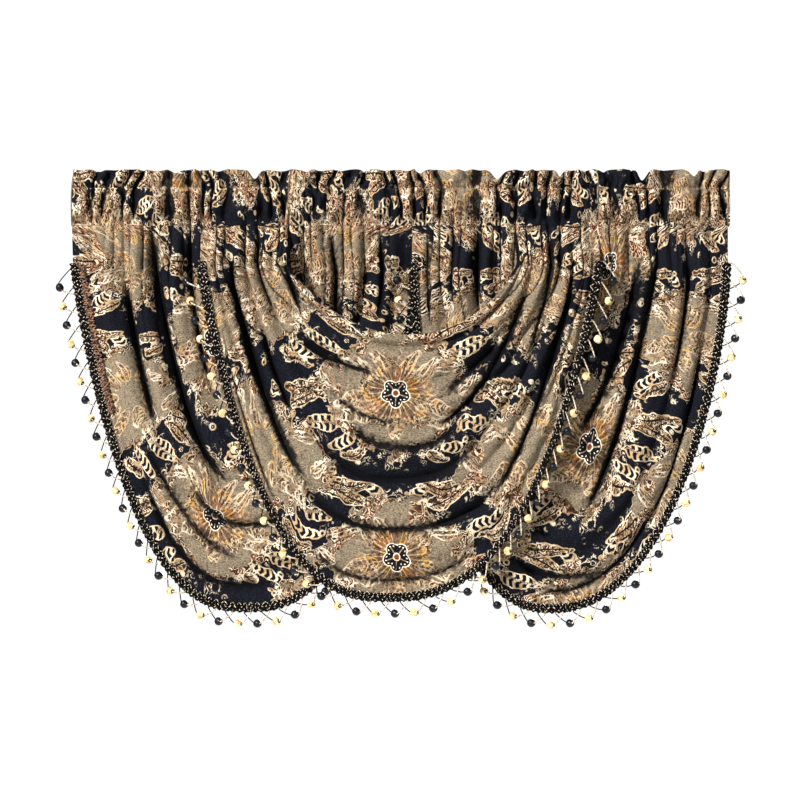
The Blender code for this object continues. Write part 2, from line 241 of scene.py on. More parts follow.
def crease_depth(creases, place, across, spacing):
    """How far the creases sink, and how far the cloth on both sides closes over them. spacing is
    the length in metres of one unit of place."""
    depth, closing = np.zeros_like(place), np.zeros_like(place)
    for crease in creases:
        (a0, p0), (a1, p1), (a2, p2) = crease["start"], crease["middle"], crease["end"]
        line = (
            p0 * (across - a1) * (across - a2) / ((a0 - a1) * (a0 - a2))
            + p1 * (across - a0) * (across - a2) / ((a1 - a0) * (a1 - a2))
            + p2 * (across - a0) * (across - a1) / ((a2 - a0) * (a2 - a1))
        )
        run = (across - a0) / (a2 - a0)
        taper = smooth(np.minimum(run, 1 - run) / 0.25)
        width = crease["width"] * (0.60 + 0.5 * smooth(spacing / 0.45))
        away = (place - line) * spacing / width
        sunk = crease["depth"] * taper
        depth += CREASE_DEEPER * sunk * np.exp(-(np.abs(away) ** 1.6))
        closing -= CREASE_CLOSING * sunk * away * np.exp(-((away / 1.5) ** 2))
    return depth, closing


def gather_height(place, below, spacing):
    """How far the small gathers stand out below the heading."""
    widths, heights, fades = (
        np.array([gather[key] for gather in GATHERS * GATHER_ROUNDS])
        for key in ("width", "height", "fade")
    )
    edges = np.concatenate([[0.0], np.cumsum(widths)])
    reach = place * spacing
    number = np.clip(np.searchsorted(edges, reach, side="right") - 1, 0, len(edges) - 2)
    share = (reach - edges[number]) / (edges[number + 1] - edges[number])
    profile = np.abs(np.sin(math.pi * np.clip(share, 0, 1))) ** 0.65 - 0.55
    uneven = 0.70 + 0.55 * np.sin(reach * 31 + 0.7) * np.sin(reach * 13 + 2.0)
    pinched = 0.55 + 0.45 * smooth(below / 0.022)
    faded = np.exp(-((np.maximum(below, 0) / fades[number]) ** 1.4))
    return heights[number] * uneven * profile * pinched * faded


def crepe_wrinkles(name, across, place, spacing):
    """Small long wrinkles that run with the folds."""
    seed = {"left": 3.1, "right": 17.7, "centre": 41.3}[name]
    long_ones, short_ones = (
        np.array([noise.noise(Vector(p)) for p in np.stack(place_in_noise, axis=-1).reshape(-1, 3)])
        for place_in_noise in (
            (across * 3.2, place * spacing * 38, np.full_like(place, seed)),
            (across * 11.0, place * spacing * 85, np.full_like(place, seed + 9)),
        )
    )
    return (LONG_WRINKLES * long_ones + SHORT_WRINKLES * short_ones).reshape(place.shape)


def swag_surface(name, across, place):
    """The middle surface of a swag as an array of points, and the share of painted shade at each,
    from its depth in a crease and in a gather's valley.
    """
    hang = HANGS[name]
    roll = np.maximum(-place, 0.0)
    place = np.maximum(place, 0.0)
    neck, hem, (out_x, out_z), spacing = hanging_lines(name, across)
    x, z, fall = (mix(neck[k], hem[k], place) for k in range(3))
    below = SWAG_TOP - z
    ramp = mix(FOLD_LEAST, 1.0, smooth(below / FOLD_RAMP))
    folds = ramp * fold_height(FOLDS[name], place, across)
    free = smooth((1 - place) * spacing / HEM_STRIP - 0.9)
    sunk, closing = crease_depth(CREASES[name], place, across, spacing)
    sunk, closing = ramp * free * sunk, ramp * free * closing
    gathers = free * gather_height(place, below, spacing)
    wrinkles = free * smooth(below / 0.04) * crepe_wrinkles(name, across, place, spacing)
    y = mix(hang["seam"], hang["below"], smooth(below / HANG_RAMP))
    y = y - hang["cowl"] * fall * (1 - place) ** COWL_POWER
    y = np.minimum(y - folds + sunk - gathers - wrinkles, DEEPEST)
    droop = DROOP * folds * smooth(below / 0.12) * free + closing
    turn = roll * math.pi
    x = x + out_x * (droop - NECK_ROLL * np.sin(turn))
    z = z + out_z * (droop - NECK_ROLL * np.sin(turn))
    y = y + NECK_ROLL * (1 - np.cos(turn))
    # Painted shade: darker the deeper a crease sinks, and in the valleys between the gathers.
    crease_shade = np.clip(sunk / CREASE_SHADE_FULL, 0, 1) + 0.70 * np.clip(-gathers / 0.004, 0, 1)
    return np.stack([x, y, z], axis=-1), crease_shade


# The cloth's own drawing, a damask of scalloped medallions in a half-drop repeat, in millimetres.
REPEAT_WIDE = 600.0
REPEAT_HIGH = 360.0
MEDALLION_HALF_WIDE = 186.0
MEDALLION_HALF_HIGH = 150.0
# How far a full crease's painted shade shrinks the medallions and border leaves, in millimetres, so
# that the navy ground shows.
CREASE_SHADE_SHRINK = 40.0
# The medallions of every second row have no flower: its place is moved this far off.
NO_FLOWER = 450.0

# One row for each leaf of a quarter of the repeat. x and y are its root from the medallion's
# middle, turn its way in degrees from straight across to straight down, long and wide its size,
# bend how far its tip curls. A scrolled leaf is filled with scrollwork and veined from root to tip,
# and the others are barred across. A scrolled leaf's ribs are counted from SCROLLED_LEAF, to tell
# it apart.
SCROLLED_LEAF = 2000.0
BORDER_LEAVES = named("x y turn long wide bend scrolled", [
    (26, -124, -58, 70, 11, 0.40, False),
    (62, -112, -40, 98, 15, 0.35, True),
    (112, -84, -36, 84, 11, 0.40, False),
    (150, -46, -20, 104, 12, -0.25, False),
    (158, 14, 14, 110, 15, -0.20, True),
    (116, 74, 32, 88, 12, -0.30, False),
    (64, 112, 52, 74, 13, -0.40, True),
])
HEART_LEAVES = named("x y turn long wide bend scrolled", [
    (18, 34, 34, 76, 15, -0.35, False),
    (26, 12, 2, 104, 17, 0.28, False),
    (22, -14, -30, 84, 15, -0.30, True),
    (8, -30, -68, 70, 14, 0.22, True),
    (3, 42, 80, 54, 13, 0.10, False),
    (78, 52, 22, 58, 12, -0.30, False),
    (70, -58, -10, 60, 12, 0.30, True),
    (124, 6, -20, 50, 13, -0.40, True),
])


def leaf_shape(row, x, y):
    """How far inside a leaf each point lies, in millimetres, and the run of its ribs."""
    turn = math.radians(row["turn"])
    along = (x - row["x"]) * math.cos(turn) + (y - row["y"]) * math.sin(turn)
    aside = (y - row["y"]) * math.cos(turn) - (x - row["x"]) * math.sin(turn)
    aside = aside - row["bend"] * along * np.abs(along) / row["long"]
    share = along / row["long"]
    outline = np.sqrt(np.clip(4 * share * (1 - share), 0, 1)) * (1.2 - 0.45 * share)
    lobes = 1 + 0.16 * np.abs(np.sin(share * math.pi * 4))
    inside = row["wide"] * outline * lobes - np.abs(aside)
    past = np.maximum(-along, along - row["long"])
    inside = np.where(past > 0, -np.hypot(past, np.abs(aside)), inside)
    if row["scrolled"]:
        return inside * 0.85, SCROLLED_LEAF + aside / (0.35 + outline) * 1.1 + along * 0.10
    return inside * 0.85, along * 0.80 - np.abs(aside) * 0.55


def leaf_group(rows, x, y):
    best, ribs = np.full_like(x, -60.0), np.zeros_like(x)
    for row in rows:
        inside, run = leaf_shape(row, x, y)
        nearer = inside > best
        best, ribs = np.where(nearer, inside, best), np.where(nearer, run, ribs)
    return best, ribs


def damask(u, v):
    """The drawing's shapes at points of the cloth, each as millimetres inside its outline."""
    chosen = None
    for half in (0.0, 0.5):
        x = np.abs((u + REPEAT_WIDE * (half + 0.5)) % REPEAT_WIDE - REPEAT_WIDE / 2)
        y = (v + REPEAT_HIGH * (half + 0.5)) % REPEAT_HIGH - REPEAT_HIGH / 2
        angle = np.arctan2(x, y)
        wide = np.sin(angle) / MEDALLION_HALF_WIDE
        high = np.abs(np.cos(angle)) / MEDALLION_HALF_HIGH
        radius = (wide**1.25 + high**1.25) ** (-1 / 1.25)
        scallops = 11.0 * (np.abs(np.cos(3.5 * angle)) ** 0.7 - 0.5)
        scallops = scallops + 7.0 * np.sin(angle * 3 + half * 4)
        medallion = radius + scallops - np.hypot(x, y)
        border, border_ribs = leaf_group(BORDER_LEAVES, x, y)
        heart, heart_ribs = leaf_group(HEART_LEAVES, x, y)
        flower_x = x + 2 * NO_FLOWER * half
        facts = [medallion, border, border_ribs, heart, heart_ribs, flower_x, y]
        if chosen is None:
            chosen = facts
            continue
        nearer = medallion > chosen[0]
        bigger = border > chosen[1]
        chosen[1] = np.where(bigger, border, chosen[1])
        chosen[2] = np.where(bigger, border_ribs, chosen[2])
        for k in (0, 3, 4, 5, 6):
            chosen[k] = np.where(nearer, facts[k], chosen[k])
    return named("medallion border border_ribs heart heart_ribs x y", tuple(chosen))


def draw_on_cloth(mesh, u, v, crease_shade):
    """Gives a sheet its cloth coordinates in metres and the damask's shapes at each point. Where it
    is creased, painted shade shrinks the medallions and border leaves so that the dark navy ground
    shows, and the crease's painted shade is kept for the material."""
    layer = mesh.uv_layers.new(name="Cloth")
    corners = np.empty(len(mesh.loops), dtype=np.int32)
    mesh.loops.foreach_get("vertex_index", corners)
    layer.data.foreach_set("uv", np.stack([u, v], axis=-1)[corners].astype(np.float32).ravel())
    drawn = damask(u * 1000, v * 1000)
    drawn["crease_shade"] = np.clip(crease_shade, 0, 1)
    # Painted shade: in a crease the medallions and border leaves draw back to the dark ground.
    for shape in ("medallion", "border"):
        drawn[shape] = drawn[shape] - CREASE_SHADE_SHRINK * drawn["crease_shade"] ** 1.3
    groups = {
        "damask_shapes": ("medallion", "border", "heart"),
        "damask_ribs": ("border_ribs", "heart_ribs", "crease_shade"),
        "damask_place": ("x", "y", "medallion"),
    }
    for name, members in groups.items():
        values = np.stack([drawn[m] for m in members], axis=-1)
        attribute = mesh.attributes.new(name, "FLOAT_VECTOR", "POINT")
        attribute.data.foreach_set("vector", values.astype(np.float32).ravel())


def linear(hex_value):
    """An sRGB hex colour as linear RGBA."""
    parts = [int(hex_value[i : i + 2], 16) / 255 for i in (1, 3, 5)]
    return (*[p / 12.92 if p <= 0.04045 else ((p + 0.055) / 1.055) ** 2.4 for p in parts], 1.0)


def add_node(tree, kind, *inputs, out=0, **settings):
    """Adds one node and returns an output. Each input is a value or another node's output, for the
    sockets in their order, and a dict gives the rest by their names or numbers."""
    made = tree.nodes.new("ShaderNode" + kind)
    for name, value in settings.items():
        setattr(made, name, value)
    sockets = {}
    for number, value in enumerate(inputs):
        sockets.update(value if isinstance(value, dict) else {number: value})
    for socket, value in sockets.items():
        if isinstance(value, bpy.types.NodeSocket):
            tree.links.new(value, made.inputs[socket])
        else:
            made.inputs[socket].default_value = value
    return made.outputs[out]


def new_material(name, roughness, **constants):
    """An empty Principled material with its constant values set on the shader's own sockets."""
    material = bpy.data.materials.new(name)
    material.use_nodes = True
    shader = material.node_tree.nodes["Principled BSDF"]
    shader.inputs["Roughness"].default_value = roughness
    for socket, value in constants.items():
        shader.inputs[socket.replace("_", " ")].default_value = value
    return material, material.node_tree, shader


# Jacquard damask of polyester yarn, woven on a navy ground with raised taupe, cream, gold and
# copper figures. It gives a dull pebbled ground, a soft sheen on the raised floats and fine
# irregular scrolls round every figure.
NAVY_DEEP, NAVY_WORN = linear("#020205"), linear("#161924")
TAUPE_DARK, TAUPE_LIGHT = linear("#4c4236"), linear("#9b8b73")
CREAM, FLOAT_SHADE, TAN = linear("#f8ead0"), linear("#c0a27a"), linear("#9d8061")
LACE_BROWN, LACE_DARK = linear("#432e21"), linear("#0c090a")
GOLD, COPPER = linear("#c59b56"), linear("#7a3f24")
COLOURS = dict(out=2, data_type="RGBA")

jacquard, tree, shader = new_material("Jacquard damask", 0.80, Specular_IOR_Level=0.10)
cloth = add_node(tree, "UVMap", uv_map="Cloth")
drawn = (
    add_node(tree, "Attribute", out="Vector", attribute_name=name)
    for name in ("damask_shapes", "damask_ribs", "damask_place")
)
shape_parts, rib_and_shade_parts, spot_parts = (
    add_node(tree, "SeparateXYZ", shapes).node.outputs for shapes in drawn
)
medallion_line, border_line, heart_line = shape_parts
# The third part is the painted shade of the creases and gather valleys.
border_run, heart_run, crease_shade_share = rib_and_shade_parts
flower_x, flower_y, heart_depth = spot_parts

# Uneven yarns, as noise: two kinds of slip in lumps of about 40 and 10 mm, two of colour in patches
# of about 25 and 50 mm, and the bindings of the floats, 1 mm apart and drawn at 2 mm so that they
# show.
slip_large, slip_small, patch_noise, warmth_noise, speck_noise = (
    add_node(tree, "TexNoise", cloth, {"Scale": scale, "Detail": detail}, out="Fac")
    for scale, detail in ((24.0, 1.0), (95.0, 1.0), (42.0, 1.0), (21.0, 2.0), (520.0, 1.0))
)
specks, pin_specks, stray_specks, outline_specks = (
    add_node(tree, "MapRange", speck_noise, low, high)
    for low, high in ((0.40, 0.60), (0.45, 0.35), (0.34, 0.44), (0.36, 0.50))
)

# The slips move a medallion's outline by up to about 20 mm, and the leaves' by a fifth of that.
slip = add_node(tree, "Math", slip_large, 74.0, -46.0, operation="MULTIPLY_ADD")
slip = add_node(tree, "Math", slip_small, 24.0, slip, operation="MULTIPLY_ADD")
slip = add_node(tree, "Math", slip, 12.0, operation="SUBTRACT")
slip_leaf = add_node(tree, "Math", slip, 0.20, operation="MULTIPLY")
medallion, border, heart = (
    add_node(tree, "Math", line, moved, operation="ADD")
    for line, moved in ((medallion_line, slip), (border_line, slip_leaf), (heart_line, slip_leaf))
)

# The scrollwork is a run of curls about 12 mm across, each of two turns of float 2 mm wide.
swirl = add_node(tree, "TexNoise", cloth, {"Scale": 80.0, "Detail": 1.0}, out="Color")
swirl = add_node(tree, "VectorMath", swirl, (0.015, 0.015, 0.0), operation="MULTIPLY")
swirl = add_node(tree, "VectorMath", cloth, swirl, operation="ADD")
scroll_wave = add_node(tree, "TexVoronoi", {"Vector": swirl, "Scale": 82.0}, out="Distance")
scroll_wave = add_node(tree, "Math", scroll_wave, 18.0, operation="MULTIPLY")
scroll_wave = add_node(tree, "Math", scroll_wave, operation="SINE")
scrolls, furrows, stray_scrolls = (
    add_node(tree, "MapRange", scroll_wave, low, high)
    for low, high in ((0.16, 0.70), (-0.12, -0.56), (0.35, 0.75))
)

# The ground's crepe yarn is 1 mm thick, and drawn at 2 mm and longer across so that it shows.
across_cloth = add_node(tree, "VectorMath", cloth, (0.42, 1.0, 1.0), operation="MULTIPLY")
grain_noise = add_node(tree, "TexNoise", across_cloth, {"Scale": 560.0, "Detail": 2.0}, out="Fac")
grain, navy_grain = (
    add_node(tree, "MapRange", grain_noise, low, high) for low, high in ((0.34, 0.66), (0.44, 0.62))
)
navy = add_node(tree, "Mix", {0: navy_grain, 6: NAVY_DEEP, 7: NAVY_WORN}, **COLOURS)
taupe = add_node(tree, "Mix", {0: grain, 6: TAUPE_DARK, 7: TAUPE_LIGHT}, **COLOURS)
pin_share, taupe_pins = (
    add_node(tree, "Math", pin_specks, share, operation="MULTIPLY") for share in (0.60, 0.35)
)
taupe = add_node(tree, "Mix", {0: taupe_pins, 6: taupe, 7: LACE_BROWN}, **COLOURS)

# Float colours: cream and tan in patches of 25 mm, gold by the hearts and copper here and there.
gold_mask, tan_mask, stray_patches = (
    add_node(tree, "MapRange", patch_noise, low, high)
    for low, high in ((0.47, 0.56), (0.56, 0.42), (0.50, 0.55))
)
gold_share = add_node(tree, "MapRange", heart_depth, 30.0, 90.0)
gold_share = add_node(tree, "Math", gold_share, gold_mask, operation="MULTIPLY")
float_colour = add_node(tree, "Mix", {0: tan_mask, 6: CREAM, 7: TAN}, **COLOURS)
float_colour = add_node(tree, "Mix", {0: gold_share, 6: float_colour, 7: GOLD}, **COLOURS)
float_mixed = add_node(tree, "Mix", {0: specks, 6: FLOAT_SHADE, 7: float_colour}, **COLOURS)
copper_mask = add_node(tree, "MapRange", warmth_noise, 0.50, 0.60)
under_colour = add_node(tree, "Mix", {0: copper_mask, 6: LACE_BROWN, 7: COPPER}, **COLOURS)
between_share = add_node(tree, "Math", specks, 0.55, operation="MULTIPLY")
between = add_node(tree, "Mix", {0: between_share, 6: under_colour, 7: TAN}, **COLOURS)

# Near the heading the scrollwork also has patches of copper satin about 50 mm across.
hung_at = add_node(tree, "SeparateXYZ", add_node(tree, "TexCoord", out="Object"), out="Z")
near_heading = add_node(tree, "MapRange", hung_at, -0.30, -0.15)
satin = add_node(tree, "MapRange", warmth_noise, 0.47, 0.54, {4: 0.90})
satin = add_node(tree, "Math", satin, near_heading, operation="MULTIPLY")
between = add_node(tree, "Mix", {0: satin, 6: between, 7: COPPER}, **COLOURS)

# Curls of float run over the brown between, and furrows of dark ground show in places.
furrow_gate = add_node(tree, "MapRange", slip_small, 0.34, 0.50)
for share in (furrow_gate, 0.88):
    furrows = add_node(tree, "Math", furrows, share, operation="MULTIPLY")
lace = add_node(tree, "Mix", {0: scrolls, 6: between, 7: float_mixed}, **COLOURS)
for share in (furrows, pin_share):
    lace = add_node(tree, "Mix", {0: share, 6: lace, 7: LACE_DARK}, **COLOURS)

# Inside the medallion the scrollwork keeps to its rim, to the heart and to the leaves round it.
# Near the heading, where the gathers bring the repeats together, it reaches up to 60 mm further in.
flower_place = add_node(tree, "CombineXYZ", flower_x, flower_y, 0.0)
flower_away = add_node(tree, "VectorMath", flower_place, out="Value", operation="LENGTH")
flower_turn = add_node(tree, "Math", flower_x, flower_y, operation="ARCTAN2")
rim = add_node(tree, "Math", warmth_noise, 200.0, -78.0, operation="MULTIPLY_ADD")
rim = add_node(tree, "Math", near_heading, 60.0, rim, operation="MULTIPLY_ADD")
rim = add_node(tree, "Math", rim, medallion, operation="SUBTRACT")
rim = add_node(tree, "MapRange", rim, -3.0, 3.0)
heart_mask = add_node(tree, "MapRange", heart, -1.0, 1.0)
leaf_share = add_node(tree, "Math", heart_mask, 0.72, operation="MULTIPLY")
round_heart = add_node(tree, "Math", slip, 1.6, flower_away, operation="MULTIPLY_ADD")
round_heart = add_node(tree, "MapRange", round_heart, 52.0, 44.0)
lace_mask = rim
for share in (round_heart, leaf_share):
    lace_mask = add_node(tree, "Math", lace_mask, share, operation="MAXIMUM")

# The heart's leaves are outlined in cream and veined, a vein every 10 mm.
heart_vein = add_node(tree, "Math", heart_run, 0.80, slip_small, operation="MULTIPLY_ADD")
heart_vein = add_node(tree, "Math", heart_vein, operation="SINE")
heart_vein = add_node(tree, "MapRange", heart_vein, 0.45, 0.85)
heart_vein = add_node(tree, "Math", heart_vein, heart_mask, operation="MULTIPLY")
heart_edge = add_node(tree, "Math", heart, operation="ABSOLUTE")
heart_edge = add_node(tree, "MapRange", heart_edge, 1.7, 0.9)
heart_lines = add_node(tree, "Math", heart_vein, heart_edge, operation="MAXIMUM")
heart_lines = add_node(tree, "Math", heart_lines, 0.75, operation="MULTIPLY")

# Rows of fine brown and cream floats spread from the heart for about 90 mm, 6 mm apart at 40 mm.
spread = add_node(tree, "Math", flower_turn, 40.0, operation="MULTIPLY")
for yarns, moved in ((slip_small, 9.0), (slip_large, 14.0)):
    spread = add_node(tree, "Math", yarns, moved, spread, operation="MULTIPLY_ADD")
spread = add_node(tree, "Math", spread, operation="SINE")
spread_end = add_node(tree, "Math", slip, -1.8, flower_away, operation="MULTIPLY_ADD")
spread_end = add_node(tree, "MapRange", spread_end, 104.0, 78.0)
spread_light = add_node(tree, "MapRange", spread, 0.35, 0.95)
spread_dark = add_node(tree, "MapRange", spread, -0.25, -0.90)
for share in (spread_end, 0.60):
    spread_light = add_node(tree, "Math", spread_light, share, operation="MULTIPLY")
for share in (spread_end, 0.55):
    spread_dark = add_node(tree, "Math", spread_dark, share, operation="MULTIPLY")

# A burst of fine rays 2 mm wide stands round the flower, a ray every 15 degrees, in five groups.
ray_reach = flower_turn
for step, *others in (
    ("MULTIPLY", 5.0),
    ("COSINE",),
    ("MULTIPLY_ADD", -9.0, 49.0),
    ("SUBTRACT", flower_away),
):
    ray_reach = add_node(tree, "Math", ray_reach, *others, operation=step)
ray_mask = add_node(tree, "MapRange", ray_reach, 0.0, 2.0)
ray_gap = add_node(tree, "Math", ray_mask, 0.6, operation="MULTIPLY")
rays = flower_turn
for step, *others in (("MULTIPLY", 12.0), ("SINE",), ("ABSOLUTE",), ("MULTIPLY", flower_away)):
    rays = add_node(tree, "Math", rays, *others, operation=step)
rays = add_node(tree, "MapRange", rays, 17.0, 9.0)
for share in (ray_mask, 0.80):
    rays = add_node(tree, "Math", rays, share, operation="MULTIPLY")

# The flower at the heart: five dark veined petals round a copper eye, with a ring of white knots.
petals = add_node(tree, "Math", flower_turn, 2.5, operation="MULTIPLY")
petal_in = petals
for step, *others in (
    ("COSINE",),
    ("ABSOLUTE",),
    ("MULTIPLY_ADD", 8.0, 20.0),
    ("SUBTRACT", flower_away),
):
    petal_in = add_node(tree, "Math", petal_in, *others, operation=step)
petal_rim, petal_mask, vein_end = (
    add_node(tree, "MapRange", petal_in, low, high)
    for low, high in ((-2.9, -2.1), (-0.9, 0.1), (4.0, 7.0))
)
veins = petals
for step, *others in (("SINE",), ("ABSOLUTE",), ("MULTIPLY", flower_away)):
    veins = add_node(tree, "Math", veins, *others, operation=step)
veins = add_node(tree, "MapRange", veins, 3.4, 2.0)
veins = add_node(tree, "Math", veins, vein_end, operation="MULTIPLY")
knot_ring = petal_in
for step, *others in (("SUBTRACT", 4.2), ("ABSOLUTE",)):
    knot_ring = add_node(tree, "Math", knot_ring, *others, operation=step)
knot_ring = add_node(tree, "MapRange", knot_ring, 1.8, 0.9)
knots = flower_turn
for step, *others in (("MULTIPLY", 20.0), ("COSINE",)):
    knots = add_node(tree, "Math", knots, *others, operation=step)
knots = add_node(tree, "MapRange", knots, 0.25, 0.6)
knots = add_node(tree, "Math", knots, knot_ring, operation="MULTIPLY")
eye_rim, eye = (
    add_node(tree, "MapRange", flower_away, low, high) for low, high in ((8.2, 7.2), (6.2, 5.0))
)

# The medallion's field, with all of these drawn over it in turn.
figure = add_node(tree, "Mix", {0: lace_mask, 6: taupe, 7: lace}, **COLOURS)
for share, colour in (
    (heart_lines, float_colour),
    (spread_dark, under_colour),
    (spread_light, float_colour),
    (ray_gap, under_colour),
    (rays, float_colour),
    (petal_rim, CREAM),
    (petal_mask, navy),
    (veins, TAN),
    (knots, CREAM),
    (eye_rim, CREAM),
    (eye, COPPER),
):
    figure = add_node(tree, "Mix", {0: share, 6: figure, 7: colour}, **COLOURS)

# On the navy, curls of cream yarn and rings 12 mm across stray from every medallion for 30 mm.
stray = add_node(tree, "MapRange", medallion, -26.0, -8.0)
for share in (stray_scrolls, stray_patches):
    stray = add_node(tree, "Math", stray, share, operation="MULTIPLY")
ring_away = add_node(tree, "TexVoronoi", {"Vector": cloth, "Scale": 34.0}, out="Distance")
rings = ring_away
for step, *others in (("SUBTRACT", 0.20), ("ABSOLUTE",)):
    rings = add_node(tree, "Math", rings, *others, operation=step)
rings = add_node(tree, "MapRange", rings, 0.065, 0.035)
ring_eye = add_node(tree, "MapRange", ring_away, 0.07, 0.04)
ring_gate = add_node(tree, "MapRange", medallion, -36.0, -30.0)
for step, other in (("MAXIMUM", ring_eye), ("MULTIPLY", ring_gate)):
    rings = add_node(tree, "Math", rings, other, operation=step)
for step, other in (("MAXIMUM", rings), ("MULTIPLY", stray_specks)):
    stray = add_node(tree, "Math", stray, other, operation=step)

# Half of the border's leaves are barred cream on navy, a bar every 14 mm, and half are scrollwork
# with dark veins.
bars = add_node(tree, "Math", slip_leaf, 0.10, operation="MULTIPLY")
bars = add_node(tree, "Math", border_run, 0.57, bars, operation="MULTIPLY_ADD")
bars = add_node(tree, "Math", bars, operation="SINE")
barred, dark_vein = (
    add_node(tree, "MapRange", bars, low, high) for low, high in ((0.00, 0.40), (-0.55, -0.85))
)
barred = add_node(tree, "Mix", {0: barred, 6: navy, 7: float_mixed}, **COLOURS)
scrolled = add_node(tree, "Mix", {0: dark_vein, 6: lace, 7: LACE_DARK}, **COLOURS)
leaf_kind = add_node(tree, "MapRange", border_run, 900.0, 1000.0)
leaf = add_node(tree, "Mix", {0: leaf_kind, 6: barred, 7: scrolled}, **COLOURS)
border_mask = add_node(tree, "MapRange", border, -0.8, 0.4)
border_edge = add_node(tree, "Math", border, operation="ABSOLUTE")
border_edge = add_node(tree, "MapRange", border_edge, 1.5, 0.8)

# The medallions lie over both, with a corded cream outline. Down in a crease, painted shade
# turns the colour to the deep navy.
medallion_mask = add_node(tree, "MapRange", medallion, -0.5, 0.6)
outline = medallion
for step, *others in (("SUBTRACT", 1.4), ("ABSOLUTE",)):
    outline = add_node(tree, "Math", outline, *others, operation=step)
outline = add_node(tree, "MapRange", outline, 1.7, 0.8)
outline = add_node(tree, "Math", outline, outline_specks, operation="MULTIPLY")
# Painted crease shade, its edge made ragged by the small slips.
painted_crease_shade = add_node(tree, "Math", slip_small, 0.9, crease_shade_share, operation="MULTIPLY_ADD")
painted_crease_shade = add_node(tree, "MapRange", painted_crease_shade, 0.48, 0.95, {4: 0.96})
woven = navy
for share, colour in (
    (stray, float_mixed),
    (border_mask, leaf),
    (border_edge, float_mixed),
    (medallion_mask, figure),
    (outline, float_mixed),
    (painted_crease_shade, NAVY_DEEP),
):
    woven = add_node(tree, "Mix", {0: share, 6: woven, 7: colour}, **COLOURS)
tree.links.new(woven, shader.inputs["Base Color"])

# The floats stand up about 1 mm over the pebbled ground.
relief = add_node(tree, "Math", lace_mask, scrolls, operation="MULTIPLY")
relief = add_node(tree, "Math", medallion_mask, relief, operation="MULTIPLY_ADD")
relief_grain = add_node(tree, "Math", grain_noise, 1.1, operation="MULTIPLY")
relief = add_node(tree, "Math", relief, relief_grain, operation="ADD")
bump = add_node(tree, "Bump", {"Strength": 0.9, "Distance": 0.0013, "Height": relief})
tree.links.new(bump, shader.inputs["Normal"])

# Cotton sateen lining in a plain taupe: smooth, with a faint weave
# of 0.6 mm yarns drawn 4 mm apart so that it shows.
lining, tree, shader = new_material("Sateen lining", 0.6, Sheen_Weight=0.15)
cloth = add_node(tree, "UVMap", uv_map="Cloth")
weave = {"Scale": 80.0, "Distortion": 1.5, "Detail": 2.0}
weave = add_node(tree, "TexWave", cloth, weave, out="Fac", bands_direction="Y")
tone = add_node(tree, "Mix", {0: weave, 6: linear("#8d8069"), 7: linear("#a79a82")}, **COLOURS)
tree.links.new(tone, shader.inputs["Base Color"])
bump = add_node(tree, "Bump", {"Strength": 0.3, "Distance": 0.0004, "Height": weave})
tree.links.new(bump, shader.inputs["Normal"])


def grid_sheet(points):
    """A grid as a mesh through points that stand in columns and rows, and each vertex's column and
    row."""
    columns, rows = points.shape[0] - 1, points.shape[1] - 1
    bm = bmesh.new()
    bmesh.ops.create_grid(bm, x_segments=columns, y_segments=rows, size=1)
    mesh = bpy.data.meshes.new("sheet")
    bm.to_mesh(mesh)
    bm.free()
    flat = np.empty(len(mesh.vertices) * 3)
    mesh.vertices.foreach_get("co", flat)
    share = (flat.reshape(-1, 3) + 1) / 2
    column = np.rint(share[:, 0] * columns).astype(int)
    row = np.rint(share[:, 1] * rows).astype(int)
    mesh.vertices.foreach_set("co", points[column, row].astype(np.float32).ravel())
    mesh.update()
    return mesh, column, row


def add_object(name, data):
    made = bpy.data.objects.new(name, data)
    bpy.context.scene.collection.objects.link(made)
    return made


def finish_sheet(name, mesh, front, back, thickness):
    """Links a sheet facing -Y, with its cloth's thickness and its lining behind."""
    mesh.name = name
    mesh.materials.append(front)
    mesh.materials.append(back)
    mesh.shade_smooth()
    sheet = add_object(name, mesh)
    thick = sheet.modifiers.new("Cloth thickness", "SOLIDIFY")
    thick.thickness = thickness
    thick.offset = 0
    thick.material_offset = 1
    thick.material_offset_rim = 0
    return sheet


def face_facts(mesh, name):
    """Each face's normal or center."""
    flat = np.empty(len(mesh.polygons) * 3)
    mesh.polygons.foreach_get(name, flat)
    return flat.reshape(-1, 3)


def turn_to_front(mesh):
    """Reverses the sheet's faces if most of them look back."""
    if face_facts(mesh, "normal")[:, 1].mean() > 0:
        mesh.flip_normals()


def even_across(name, columns):
    """Places along the hanging lines, the same distance apart on the swag's middle line."""
    fine = np.linspace(-TUCKED_ACROSS, TUCKED_ACROSS, 2001)
    neck, hem, *_ = hanging_lines(name, fine)
    x, z = (mix(neck[k], hem[k], 0.7) for k in (0, 1))
    run = np.concatenate([[0.0], np.cumsum(np.hypot(np.diff(x), np.diff(z)))])
    return np.interp(np.linspace(0, run[-1], columns + 1), run, fine)


